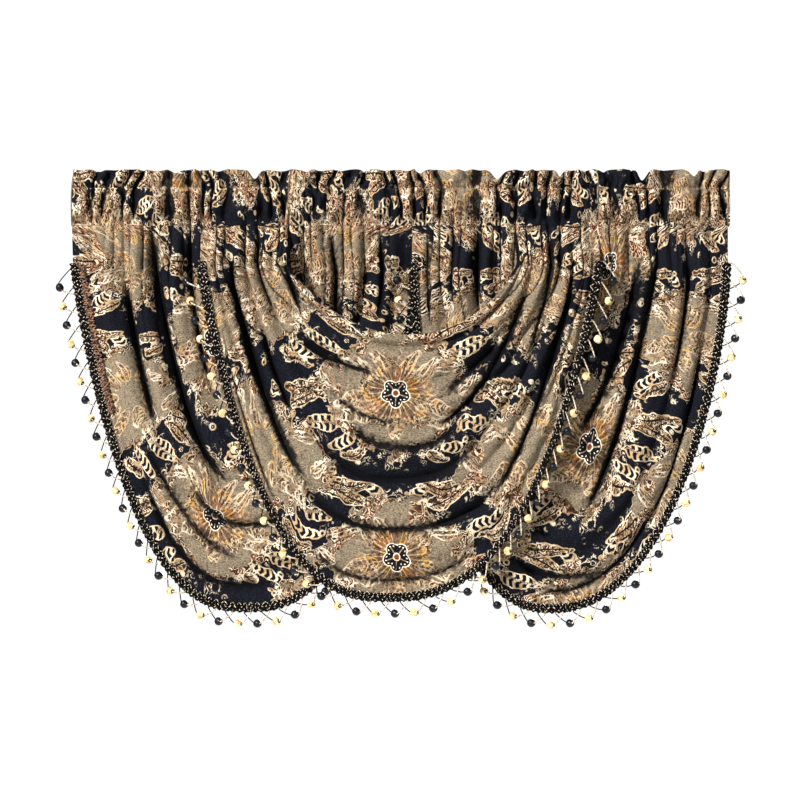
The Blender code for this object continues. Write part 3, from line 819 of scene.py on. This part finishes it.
def make_swag(name):
    lines = even_across(name, SWAG_COLUMNS)
    rolled = np.linspace(-1, 0, NECK_ROLL_ROWS + 1)[:-1]
    places = np.concatenate([rolled, np.linspace(0, 1, SWAG_ROWS + 1)])
    across, place = np.meshgrid(lines, places, indexing="ij")
    points, crease_shade = swag_surface(name, across, place)
    mesh, column, row = grid_sheet(points)
    turn_to_front(mesh)
    steps = np.diff(points, axis=1)
    taken_up = np.linalg.norm(steps, axis=-1) - np.hypot(steps[..., 0], steps[..., 2])
    taken_up = np.concatenate([np.zeros((len(lines), 1)), np.cumsum(taken_up, axis=1)], axis=1)
    taken_up = taken_up * CLOTH_TAKEN_UP
    neck, hem, (out_x, out_z), _ = hanging_lines(name, across)
    hang = HANGS[name]
    gathered = 1 - smooth((SWAG_TOP - points[..., 2]) / FULLNESS_DROP)
    gather_middle = np.where(across < 0, *[(neck[0] + hem[0])[end, :1] / 2 for end in (0, -1)])
    gathered = SEAM_FULLNESS * gathered * (points[..., 0] - gather_middle)
    u = points[..., 0] - hang["pattern_x"] + taken_up * out_x + gathered
    v = hang["pattern_z"] - points[..., 2] - taken_up * out_z
    draw_on_cloth(mesh, u[column, row], v[column, row], crease_shade[column, row])
    for end in (0, -1):
        seam = np.argsort(points[end, NECK_ROLL_ROWS:, 0])
        parts = (points[..., 0], u, v, points[..., 1], crease_shade)
        seam_cloth.append([part[end, NECK_ROLL_ROWS:][seam] for part in parts])
    swag = finish_sheet("cloth_" + name, mesh, jacquard, lining, CLOTH_THICKNESS)
    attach(swag, "root")
    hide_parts("swag_" + name)
    return swag


# One row for each swag's cut: the panel's width across its gathers and its length, in metres, and
# its flat area in square metres, as the cut is a half round.
CUTS = named("wide long area", {
    "left": (1.60, 0.46, 0.43),
    "right": (1.55, 0.46, 0.41),
    "centre": (1.60, 0.56, 0.44),
})

seam_cloth = []
for side, cut in CUTS.items():
    swag = make_swag(side)

# ---------------------------------------------------------------------------------------------
# The bead fringes. A gimp braid of black, cream and copper cords is sewn along the front of each
# hem. One cream and one black string leave its edge, cross their neighbours and meet in a drilled
# wooden bead, lacquered navy and pale gold in turn.
# ---------------------------------------------------------------------------------------------

# Sizes of braid, strings and beads in metres. The ways out and down and the spans are shares, and a
# bead's turn and twist are in radians.
GIMP_INSIDE = 0.011
GIMP_OUTSIDE = 0.006
GIMP_THICKNESS = 0.0022
SEWN_GAP = 0.0010
BEAD_PITCH = 0.0355
BEAD_RADIUS = 0.0082
BEAD_HOLE = 0.0027
HOLE_DEEP = 0.0040
HOLE_RIM = 1.25
BEAD_END = 0.965
BEAD_HANG_SIDE = 0.029
BEAD_HANG_LOW = 0.0215
BEAD_OUTWARD = 0.75
BEAD_DOWNWARD = 0.60
STRING_RADII = (0.00105, 0.00135)
BEAD_TURN = 0.75
BEAD_TWIST = 0.35
STRING_SPREAD = 0.0235
STRING_SWING = 0.0014
STRING_TUCK = 0.003
STRING_LEAD = 0.004
STRING_POINTS = 9
CORD_MARGIN = 0.001
STRING_SLID = 0.55
HOLE_SHADE_SPAN = 1.5
HEM_STATIONS = 1201
GIMP_COLUMNS = 420
GIMP_STRIP = 0.0008
POINTS_A_SWING = 7
COPPER_SLOT = 2
FIRST_BEAD_SLOT = 3
# The slot of the dark wood in and round each bead's hole, which is partly painted shade.
HOLE_SHADE_SLOT = 5

# One row for each cord of the braid. middle is its place across the braid from the hem's edge,
# sway how far it swings each side of that, wave the length of one swing, phase where it starts,
# lift its height over the strip, weave how far it passes over and under the others, and radius its
# own, in metres. Slot is its material: 0 black, 1 cream and 2 copper.
GIMP_CORDS = named("middle sway wave phase lift weave radius slot", [
    (0.0020, 0.0036, 0.0112, 0.0, 0.0010, 0.0008, 0.0018, 0),
    (0.0018, 0.0030, 0.0112, 0.5, 0.0006, 0.0008, 0.0018, 0),
    (0.0014, 0.0036, 0.0196, 0.2, -0.0001, 0.0030, 0.0009, 1),
    (-0.0036, 0.0028, 0.0098, 0.1, 0.0008, 0.0008, 0.0018, 0),
    (-0.0040, 0.0034, 0.0170, 0.6, -0.0003, 0.0030, 0.0009, 1),
    (-0.0086, 0.0022, 0.0084, 0.3, 0.0008, 0.0008, 0.0014, 0),
    (-0.0092, 0.0030, 0.0136, 0.8, -0.0002, 0.0026, 0.0008, 1),
    (-0.0130, 0.0034, 0.0094, 0.7, 0.0006, 0.0010, 0.0014, 2),
    (-0.0172, 0.0032, 0.0123, 0.2, -0.0002, 0.0014, 0.0014, 2),
    (-0.0206, 0.0034, 0.0105, 0.5, -0.0006, 0.0014, 0.0014, 2),
])

# The braiding machine feeds its cords unevenly, so each swing comes early or late by this share of
# itself, and the error itself comes and goes over this length in metres.
GIMP_UNEVEN = 0.26
GIMP_UNEVEN_RUN = 0.0142
# The copper loops show only along the first part of the left hem, as a share of its length.
COPPER_SHARE = 0.19


def hem_frames(name):
    """Stations along the hem: each point, the ways outward and frontward there, and the run."""
    reach = 1 - STRAIGHT_SHARE
    across = np.linspace(-reach, reach, HEM_STATIONS)
    edge = swag_surface(name, across[:, None], np.ones((HEM_STATIONS, 1)))[0][:, 0]
    strip = 1 - HEM_STRIP / hanging_lines(name, across)[-1]
    inner = swag_surface(name, across[:, None], strip[:, None])[0][:, 0]
    outward = edge - inner
    outward /= np.linalg.norm(outward, axis=1, keepdims=True)
    along = np.gradient(edge, axis=0)
    along /= np.linalg.norm(along, axis=1, keepdims=True)
    front = np.cross(outward, along)
    front /= np.linalg.norm(front, axis=1, keepdims=True)
    front = np.where(front[:, 1:2] > 0, -front, front)
    run = np.concatenate([[0.0], np.cumsum(np.linalg.norm(np.diff(edge, axis=0), axis=1))])
    return edge, outward, front, run


def at_run(frames, distance):
    """The hem's point, outward way and front way at distances along it."""
    *parts, run = frames
    return [
        np.stack([np.interp(distance, run, part[:, axis]) for axis in range(3)], -1)
        for part in parts
    ]


def add_cord(curve, points, radius, slot):
    """One round cord through the points, as a spline of the curve."""
    spline = curve.splines.new("POLY")
    spline.points.add(len(points) - 1)
    spline.points.foreach_set("co", np.c_[points, np.ones(len(points))].astype(np.float32).ravel())
    spline.points.foreach_set("radius", np.full(len(points), radius, dtype=np.float32))
    spline.material_index = slot
    spline.use_smooth = True


def cords_as_mesh(curve):
    holder = add_object("cords", curve)
    bpy.context.view_layer.update()
    solid = holder.evaluated_get(bpy.context.evaluated_depsgraph_get())
    mesh = bpy.data.meshes.new_from_object(solid)
    bpy.data.objects.remove(holder)
    return mesh


def bead_mesh():
    """A drilled bead about its hole, which lies along Z: a turned section, spun full round."""
    bm = bmesh.new()
    section = [(BEAD_HOLE, -HOLE_DEEP), (BEAD_HOLE * HOLE_RIM, -BEAD_RADIUS * BEAD_END)]
    for degrees in (-62, -36, -12, 12, 36, 62):
        angle = math.radians(degrees)
        section.append((BEAD_RADIUS * math.cos(angle), BEAD_RADIUS * 0.985 * math.sin(angle)))
    section += [(BEAD_HOLE * HOLE_RIM, BEAD_RADIUS * BEAD_END), (BEAD_HOLE, HOLE_DEEP)]
    verts = [bm.verts.new((x, 0, z)) for x, z in section]
    edges = [bm.edges.new(pair) for pair in zip(verts, verts[1:] + verts[:1])]
    spun = dict(axis=(0, 0, 1), cent=(0, 0, 0), angle=2 * math.pi, steps=14, use_merge=True)
    bmesh.ops.spin(bm, geom=verts + edges, **spun)
    bmesh.ops.remove_doubles(bm, verts=bm.verts[:], dist=1e-6)
    bmesh.ops.recalc_face_normals(bm, faces=bm.faces[:])
    for face in bm.faces:
        face.smooth = True
    mesh = bpy.data.meshes.new("bead")
    bm.to_mesh(mesh)
    bm.free()
    return mesh


def grained_material(name, roughness, grain, colours, contrast=None, bump=None, **constants):
    """A material in two colours mixed by a fine noise, which may also stand out as a bump. grain is
    the noise's scale and detail, contrast the span taken of it, and bump its strength and depth."""
    material, tree, shader = new_material(name, roughness, **constants)
    place = add_node(tree, "TexCoord", out="Object")
    twist = add_node(tree, "TexNoise", place, {"Scale": grain[0], "Detail": grain[1]}, out="Fac")
    share = add_node(tree, "MapRange", twist, *contrast) if contrast else twist
    low, high = colours
    tone = add_node(tree, "Mix", {0: share, 6: linear(low), 7: linear(high)}, **COLOURS)
    tree.links.new(tone, shader.inputs["Base Color"])
    if bump:
        bumped = add_node(tree, "Bump", {"Strength": bump[0], "Distance": bump[1], "Height": twist})
        tree.links.new(bumped, shader.inputs["Normal"])
    return material


# Rayon gimp cord, black: twisted yarns of 1 mm take in nearly all light and leave fine slanting
# grooves.
black_cord = grained_material(
    "Black rayon cord",
    0.6,
    (700.0, 2.0),
    ("#020202", "#120e0c"),
    bump=(0.6, 0.0004),
    Specular_IOR_Level=0.06,
)

# Rayon cord in cream: bright, with a silky sheen and brown in the twist.
cream_cord = grained_material(
    "Cream rayon cord",
    0.5,
    (420.0, 2.0),
    ("#5c4a3a", "#f3e4cb"),
    contrast=(0.35, 0.65),
    bump=(0.5, 0.0003),
    Sheen_Weight=0.08,
)

# Rayon loop cord in copper brown, mixed with tan yarns along the braid's inner edge.
copper_cord = grained_material(
    "Copper rayon cord",
    0.5,
    (160.0, 2.0),
    ("#1c0f0c", "#9a6a48"),
    contrast=(0.42, 0.6),
    bump=(0.5, 0.0003),
    Sheen_Weight=0.05,
)

# Turned wood bead under navy lacquer: smooth and softly glossy, nearly black.
navy_bead = grained_material(
    "Navy lacquered bead",
    0.42,
    (260.0, 2.0),
    ("#050609", "#14161e"),
    Specular_IOR_Level=0.18,
    Coat_Weight=0.04,
)

# Turned wood bead under pale gold lacquer: bright and warm, with brown left in its end grain.
gold_bead = grained_material(
    "Gold lacquered bead",
    0.38,
    (130.0, 3.0),
    ("#bd9150", "#fae2ad"),
    contrast=(0.40, 0.62),
    IOR=1.5,
    Coat_Weight=0.15,
)

# Drilled wood in and round each bead's hole: dark brown, partly its own bare wood and partly
# painted shade in the hole, matt, with a little grain.
hole_shaded_wood = grained_material("Drilled wood with painted hole shade", 0.85, (500.0, 2.0), ("#1a0f08", "#4a2e18"))


def gimp_strip(frames, length):
    """The braid's flat base strip, as a box section drawn along the hem."""
    edge, outward, front = at_run(frames, np.linspace(0, length, GIMP_COLUMNS + 1))
    places = np.linspace(-GIMP_INSIDE, GIMP_OUTSIDE * 0.75, 5)
    crown = np.array([0.2, 0.8, 1.0, 0.8, 0.2]) * GIMP_THICKNESS
    lift = CLOTH_THICKNESS / 2 + SEWN_GAP
    points = edge[:, None] + outward[:, None] * places[None, :, None]
    points = points + front[:, None] * (lift + crown[None, :, None])
    mesh = grid_sheet(points)[0]
    turn_to_front(mesh)
    bm = bmesh.new()
    bm.from_mesh(mesh)
    bmesh.ops.solidify(bm, geom=bm.faces[:], thickness=GIMP_STRIP)
    bmesh.ops.recalc_face_normals(bm, faces=bm.faces[:])
    bm.to_mesh(mesh)
    bm.free()
    return mesh


def string_path(root, root_out, bead, way_in):
    """A string's run from under the braid's edge, out and down in a bow to the bead's hole."""
    start = root - root_out * STRING_TUCK
    lead = root + root_out * STRING_LEAD
    steps = np.linspace(0, 1, STRING_POINTS)[:, None]
    pull = lead * 0.35 + bead * 0.65 + root_out * 0.0030
    bow = (1 - steps) ** 2 * lead + 2 * steps * (1 - steps) * pull + steps**2 * bead
    return np.vstack([start[None], bow, (bead + way_in * STRING_LEAD)[None]])


def make_fringe(name):
    frames = hem_frames(name)
    length = frames[3][-1]
    lift = CLOTH_THICKNESS / 2 + SEWN_GAP
    curve = bpy.data.curves.new("fringe cords", "CURVE")
    curve.dimensions = "3D"
    curve.bevel_depth = 1.0
    curve.bevel_resolution = 0
    curve.use_fill_caps = True
    for material in (black_cord, cream_cord, copper_cord):
        curve.materials.append(material)
    for cord in GIMP_CORDS:
        if cord["slot"] == COPPER_SLOT and name != "left":
            continue
        cord_end = length * (COPPER_SHARE if cord["slot"] == COPPER_SLOT else 1) - CORD_MARGIN
        distance = np.arange(CORD_MARGIN, cord_end, cord["wave"] / POINTS_A_SWING)
        edge, outward, front = at_run(frames, distance)
        uneven = GIMP_UNEVEN * np.sin(distance / GIMP_UNEVEN_RUN + 9 * cord["phase"])
        uneven = uneven + GIMP_UNEVEN * 0.7 * np.sin(distance / (GIMP_UNEVEN_RUN * 2.7))
        turn = 2 * math.pi * (distance / cord["wave"] + cord["phase"] + uneven)
        aside = cord["middle"] + cord["sway"] * np.sin(turn)
        high = lift + GIMP_THICKNESS * 0.7 + cord["lift"] + cord["weave"] * np.cos(turn * 2)
        points = edge + outward * aside[:, None] + front * high[:, None]
        add_cord(curve, points, cord["radius"], cord["slot"])
    count = int(length / BEAD_PITCH + 0.2)
    margin = (length - (count - 1) * BEAD_PITCH) / 2
    fringe = bmesh.new()
    fringe.from_mesh(gimp_strip(frames, length))
    bead = bead_mesh()
    edge_lift = lift + GIMP_THICKNESS / 2
    for k in range(count):
        distance = margin + k * BEAD_PITCH
        edge, outward, front = (part[0] for part in at_run(frames, np.array([distance])))
        hang = outward * BEAD_OUTWARD + np.array([0, 0, -1.0]) * BEAD_DOWNWARD
        hang /= np.linalg.norm(hang)
        hang_length = mix(BEAD_HANG_SIDE, BEAD_HANG_LOW, smooth(-outward[2]))
        middle = edge + outward * GIMP_OUTSIDE + front * edge_lift + hang * hang_length
        through = np.cross(hang, front)
        through /= np.linalg.norm(through)
        ahead = at_run(frames, np.array([distance + 0.01]))[0][0] - edge
        if through @ ahead < 0:
            through = -through
        twist = BEAD_TURN + BEAD_TWIST * math.sin(k * 2.4 + len(name))
        through = through * math.cos(twist) + front * math.sin(twist)
        slid = STRING_SLID * np.dot(middle - edge, ahead) / np.linalg.norm(ahead)
        for side in (-1, 1):
            at = min(max(distance + slid + side * STRING_SPREAD, 0.0), length)
            root, root_out, root_front = (part[0] for part in at_run(frames, np.array([at])))
            swing = side * STRING_SWING
            root = root + root_out * GIMP_OUTSIDE * 0.6 + root_front * (edge_lift + swing)
            hole = middle + through * side * BEAD_RADIUS * 0.9
            slot = int(side > 0)
            points = string_path(root, root_out, hole, -through * side)
            add_cord(curve, points, STRING_RADII[slot], slot)
        first_vert, first_face = len(fringe.verts), len(fringe.faces)
        fringe.from_mesh(bead)
        fringe.verts.ensure_lookup_table()
        fringe.faces.ensure_lookup_table()
        turn = np.stack([np.cross(hang, through), -hang, through], axis=1)
        place = Matrix.Translation(Vector(middle)) @ Matrix(turn.tolist()).to_4x4()
        bmesh.ops.transform(fringe, matrix=place, verts=fringe.verts[first_vert:])
        # The faces in and round the hole take the dark wood, as painted shade in the hole.
        for face in fringe.faces[first_face:]:
            from_hole = face.calc_center_median() - Vector(middle)
            from_hole -= Vector(through) * from_hole.dot(Vector(through))
            hole_shaded = from_hole.length < BEAD_HOLE * HOLE_SHADE_SPAN
            face.material_index = HOLE_SHADE_SLOT if hole_shaded else FIRST_BEAD_SLOT + k % 2
    fringe.from_mesh(cords_as_mesh(curve))
    mesh = bpy.data.meshes.new("trim_" + name)
    fringe.to_mesh(mesh)
    fringe.free()
    for material in (black_cord, cream_cord, copper_cord, navy_bead, gold_bead, hole_shaded_wood):
        mesh.materials.append(material)
    piece = add_object("trim_" + name, mesh)
    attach(piece, "root")
    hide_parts("fringe_" + name)


for side in EDGES:
    make_fringe(side)

# ---------------------------------------------------------------------------------------------
# The heading. One band of the same jacquard is folded over, stitched twice along its length to
# leave a ruffle standing over a rod pocket, and gathered to the valance's width. It is sewn over
# the tops of the three swags.
# ---------------------------------------------------------------------------------------------

WIDTH = 1.245
RUFFLE_DROP = 0.036
GATHER_WIDTHS = [0.052, 0.021, 0.034, 0.017, 0.060, 0.024]
GATHER_WIDTHS += [0.038, 0.019, 0.030, 0.066, 0.022, 0.028]
RUFFLE_DIPS = (0.003, 0.012, 0.005, 0.017, 0.002, 0.009, 0.006)
HEADING_COLUMNS = 520
HEADING_ROWS = 84
HEADING_THICKNESS = 0.0015
SEAM_Y = -0.0070
SEAM_PROUD = 0.0006
SEWN_DROP = 0.034

# One row for each level of the folded band, from its front's lower edge over the top to its back's
# lower edge: z, its depth y, how far the main gathers move it, and how far the small puckers do.
HEADING_LEVELS = named("z y gathers puckers", [
    (-0.1074, -0.0070, 0.0012, 0.0018),
    (-0.1040, -0.0088, 0.0036, 0.0042),
    (-0.0980, -0.0122, 0.0064, 0.0060),
    (-0.0883, -0.0148, 0.0090, 0.0058),
    (-0.0709, -0.0165, 0.0105, 0.0044),
    (-0.0517, -0.0140, 0.0090, 0.0058),
    (-0.0410, -0.0090, 0.0060, 0.0056),
    (-0.0360, -0.0040, 0.0026, 0.0030),
    (-0.0310, -0.0055, 0.0060, 0.0056),
    (-0.0200, -0.0062, 0.0095, 0.0050),
    (-0.0060, -0.0050, 0.0100, 0.0044),
    (-0.0008, -0.0026, 0.0100, 0.0040),
    (0.0000, 0.0000, 0.0100, 0.0040),
    (-0.0008, 0.0024, 0.0096, 0.0040),
    (-0.0200, 0.0030, 0.0070, 0.0026),
    (-0.0360, 0.0030, 0.0010, 0.0010),
    (-0.0517, 0.0128, -0.0021, -0.0020),
    (-0.0709, 0.0160, -0.0025, -0.0020),
    (-0.0883, 0.0136, -0.0021, -0.0020),
    (-0.1085, 0.0060, -0.0008, -0.0010),
])

# Deep notches in the ruffle's top edge: x, half width and depth in metres.
NOTCHES = named("x wide deep", [
    (-0.560, 0.007, 0.004),
    (-0.424, 0.009, 0.006),
    (-0.276, 0.009, 0.018),
    (-0.180, 0.007, 0.005),
    (-0.068, 0.008, 0.004),
    (0.041, 0.007, 0.006),
    (0.184, 0.008, 0.019),
    (0.300, 0.007, 0.015),
    (0.384, 0.007, 0.004),
    (0.460, 0.008, 0.018),
    (0.555, 0.008, 0.012),
])


def main_gathers(x):
    """1 on a gather's crest and -1 in the valley beside it, more in some places than others."""
    strength = 0.85 + 0.35 * np.sin(x * 19 + 0.6) * np.sin(x * 7.3 + 2)
    x = x + 0.010 * np.sin(x * 21) + 0.005 * np.sin(x * 53 + 1)
    stations, pushes, at, k = [-WIDTH / 2 - 0.02], [0.0], -WIDTH / 2, 0
    while at < WIDTH / 2 + 0.06:
        at += GATHER_WIDTHS[k // 2 % len(GATHER_WIDTHS)] / 2
        stations.append(at)
        pushes.append(1.0 if k % 2 == 0 else -1.0)
        k += 1
    number = np.clip(np.searchsorted(stations, x) - 1, 0, len(stations) - 2)
    start, end = np.array(stations)[number], np.array(stations)[number + 1]
    share = smooth((x - start) / (end - start))
    push = mix(np.array(pushes)[number], np.array(pushes)[number + 1], share)
    return strength * (2 * np.clip((push + 1) / 2, 0, 1) ** 0.55 - 1.1)


def small_puckers(x, z):
    """The puckers between the main gathers, drawn closest at the two rows of stitching."""
    first = x * math.pi / 0.0172 + 2.6 * np.sin(x * 31) + 0.9 * np.sin(z * 90 + x * 15)
    first = np.abs(np.sin(first)) ** 0.6
    second = np.sin(x * 2 * math.pi / 0.0091 + 3.0 * np.sin(x * 47 + 1))
    uneven = 0.75 + 0.45 * np.sin(x * 23 + 2) * np.sin(x * 9.1)
    return (first - 0.6 + 0.22 * second) * uneven


level_z, level_y, level_gathers, level_puckers = (
    np.array([level[key] for level in HEADING_LEVELS]) for key in ("z", "y", "gathers", "puckers")
)
level_run = np.concatenate([[0.0], np.cumsum(np.hypot(np.diff(level_z), np.diff(level_y)))])
run = np.linspace(0, level_run[-1], HEADING_ROWS + 1)
flat_x = np.linspace(-WIDTH / 2, WIDTH / 2, HEADING_COLUMNS + 1)
x, run = np.meshgrid(flat_x, run, indexing="ij")
z, y = np.interp(run, level_run, level_z), np.interp(run, level_run, level_y)

# Its cloth runs on from the swags' where they are sewn together, the centre one over the others.
u, v, seam_y, seam_crease_shade = (np.full_like(x, value) for value in (0.0, 0.0, SEAM_Y, 0.0))
covered = np.zeros(x.shape, dtype=bool)
for seam_x, *seam_parts in seam_cloth[::-1]:
    over = (x >= seam_x[0]) & (x <= seam_x[-1]) & ~covered
    u, v, seam_y, seam_crease_shade = (
        np.where(over, np.interp(x, seam_x, new), old)
        for new, old in zip(seam_parts, (u, v, seam_y, seam_crease_shade))
    )
    covered |= over
v = v - run

crumples = np.stack([x * 42, z * 30, np.zeros_like(x)], axis=-1).reshape(-1, 3)
crumples = np.array([noise.noise(Vector(p)) + 0.5 * noise.noise(Vector(p * 2.6)) for p in crumples])
upper = smooth((z + RUFFLE_DROP) / RUFFLE_DROP)
lower = smooth((-z - RUFFLE_DROP) / RUFFLE_DROP)
strayed = x + 0.013 * np.sin(x * 17 + 1) * upper - 0.007 * np.sin(x * 29 + 2) * lower
push = main_gathers(strayed) * np.interp(run, level_run, level_gathers)
push = push + small_puckers(x, z) * np.interp(run, level_run, level_puckers)
push = push + crumples.reshape(x.shape) * 0.85 * np.interp(run, level_run, level_puckers)
stations = np.arange(len(RUFFLE_DIPS) * 12) * 0.0165 - WIDTH / 2
dips = np.interp(x, stations, np.tile(RUFFLE_DIPS, 12) * 0.30)
for notch in NOTCHES:
    dips = dips + notch["deep"] * np.exp(-np.abs((x - notch["x"]) / notch["wide"]) ** 1.8)
z = z - dips * upper
lean = 0.0032 * np.sin(x * 61 + 1.1) + 0.0022 * np.sin(x * 137)
# Painted shade in the valleys between the gathers, blended near the seam into the swags' painted
# crease shade.
crease_shade = np.clip(-push / 0.007, 0, 1) * 0.9
sewn = 1 - smooth(run / SEWN_DROP)
crease_shade = mix(crease_shade, seam_crease_shade, sewn)
pushed = mix(y - push - lean * upper, seam_y - SEAM_PROUD, sewn)
points = np.stack([x + lean * upper * 1.2, pushed, z], axis=-1)
ends = smooth((WIDTH / 2 - np.abs(x)) / 0.010)
points[..., 0] = np.clip(points[..., 0], -WIDTH / 2, WIDTH / 2)
points[..., 1] = mix(y, points[..., 1], ends)
mesh, column, row = grid_sheet(points)
if (face_facts(mesh, "normal")[:, 1] * face_facts(mesh, "center")[:, 1]).sum() < 0:
    mesh.flip_normals()
draw_on_cloth(mesh, u[column, row], v[column, row], crease_shade[column, row])
heading = finish_sheet("cloth_heading", mesh, jacquard, jacquard, HEADING_THICKNESS)
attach(heading, "root")
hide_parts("heading")

# ---------------------------------------------------------------------------------------------
# The studio: a pale floor well below the hung valance, a key light at the upper left, weaker ones
# in front, at the right and behind, and a white surround. The camera looks straight at the front.
# ---------------------------------------------------------------------------------------------

FLOOR_Z = -1.90
VALANCE_MIDDLE = (0, 0, -0.42)
bm = bmesh.new()
below = Matrix.Translation((0, 0, FLOOR_Z))
bmesh.ops.create_circle(bm, cap_ends=True, segments=96, radius=3.0, matrix=below)
floor_mesh = bpy.data.meshes.new("floor")
bm.to_mesh(floor_mesh)
bm.free()
floor = add_object("floor", floor_mesh)
paint = grained_material("Pale matt floor paint", 0.9, (3.0, 2.0), ("#ececea", "#f4f4f2"))
floor_mesh.materials.append(paint)

world = bpy.data.worlds.new("Studio surround")
world.use_nodes = True
bpy.context.scene.world = world
tree = world.node_tree
surround = tree.nodes["Background"]
seen = add_node(tree, "LightPath", out="Is Camera Ray")
strength = add_node(tree, "MapRange", seen, {3: 0.045, 4: 1.05})
tree.links.new(strength, surround.inputs["Strength"])
surround.inputs["Color"].default_value = (1.0, 1.0, 1.0, 1.0)

# One row for each light: where it stands, its size in metres and its power in watts.
LIGHTS = named("name at size power", [
    ("key", (-5.1, -5.6, 4.2), 1.3, 1880.0),
    ("fill", (1.5, -5.6, 0.0), 1.2, 38.0),
    ("right", (6.0, 0.8, 0.6), 1.8, 260.0),
    ("back", (1.5, 6.0, 1.6), 2.4, 620.0),
])
for row in LIGHTS:
    lamp = bpy.data.lights.new(row["name"], "AREA")
    lamp.size = row["size"]
    lamp.energy = row["power"]
    holder = add_object(row["name"], lamp)
    holder.location = row["at"]
    aim = Vector(VALANCE_MIDDLE) - holder.location
    holder.rotation_euler = aim.to_track_quat("-Z", "Y").to_euler()

# The photo's frame is 1.507 m wide at the cloth, and its middle lies 437 mm below the top edge.
CAMERA_AWAY = 6.0
FRAME_WIDTH = 1.5068
CLOTH_FRONT = 0.03
camera = bpy.data.cameras.new("camera")
camera.sensor_width = 36.0
camera.lens = 36.0 * (CAMERA_AWAY - CLOTH_FRONT) / FRAME_WIDTH
viewer = add_object("camera", camera)
viewer.location = (-0.0009, -CAMERA_AWAY, -0.437)
viewer.rotation_euler = (math.radians(90), 0, 0)
bpy.context.scene.camera = viewer
bpy.context.scene.view_settings.view_transform = "Standard"
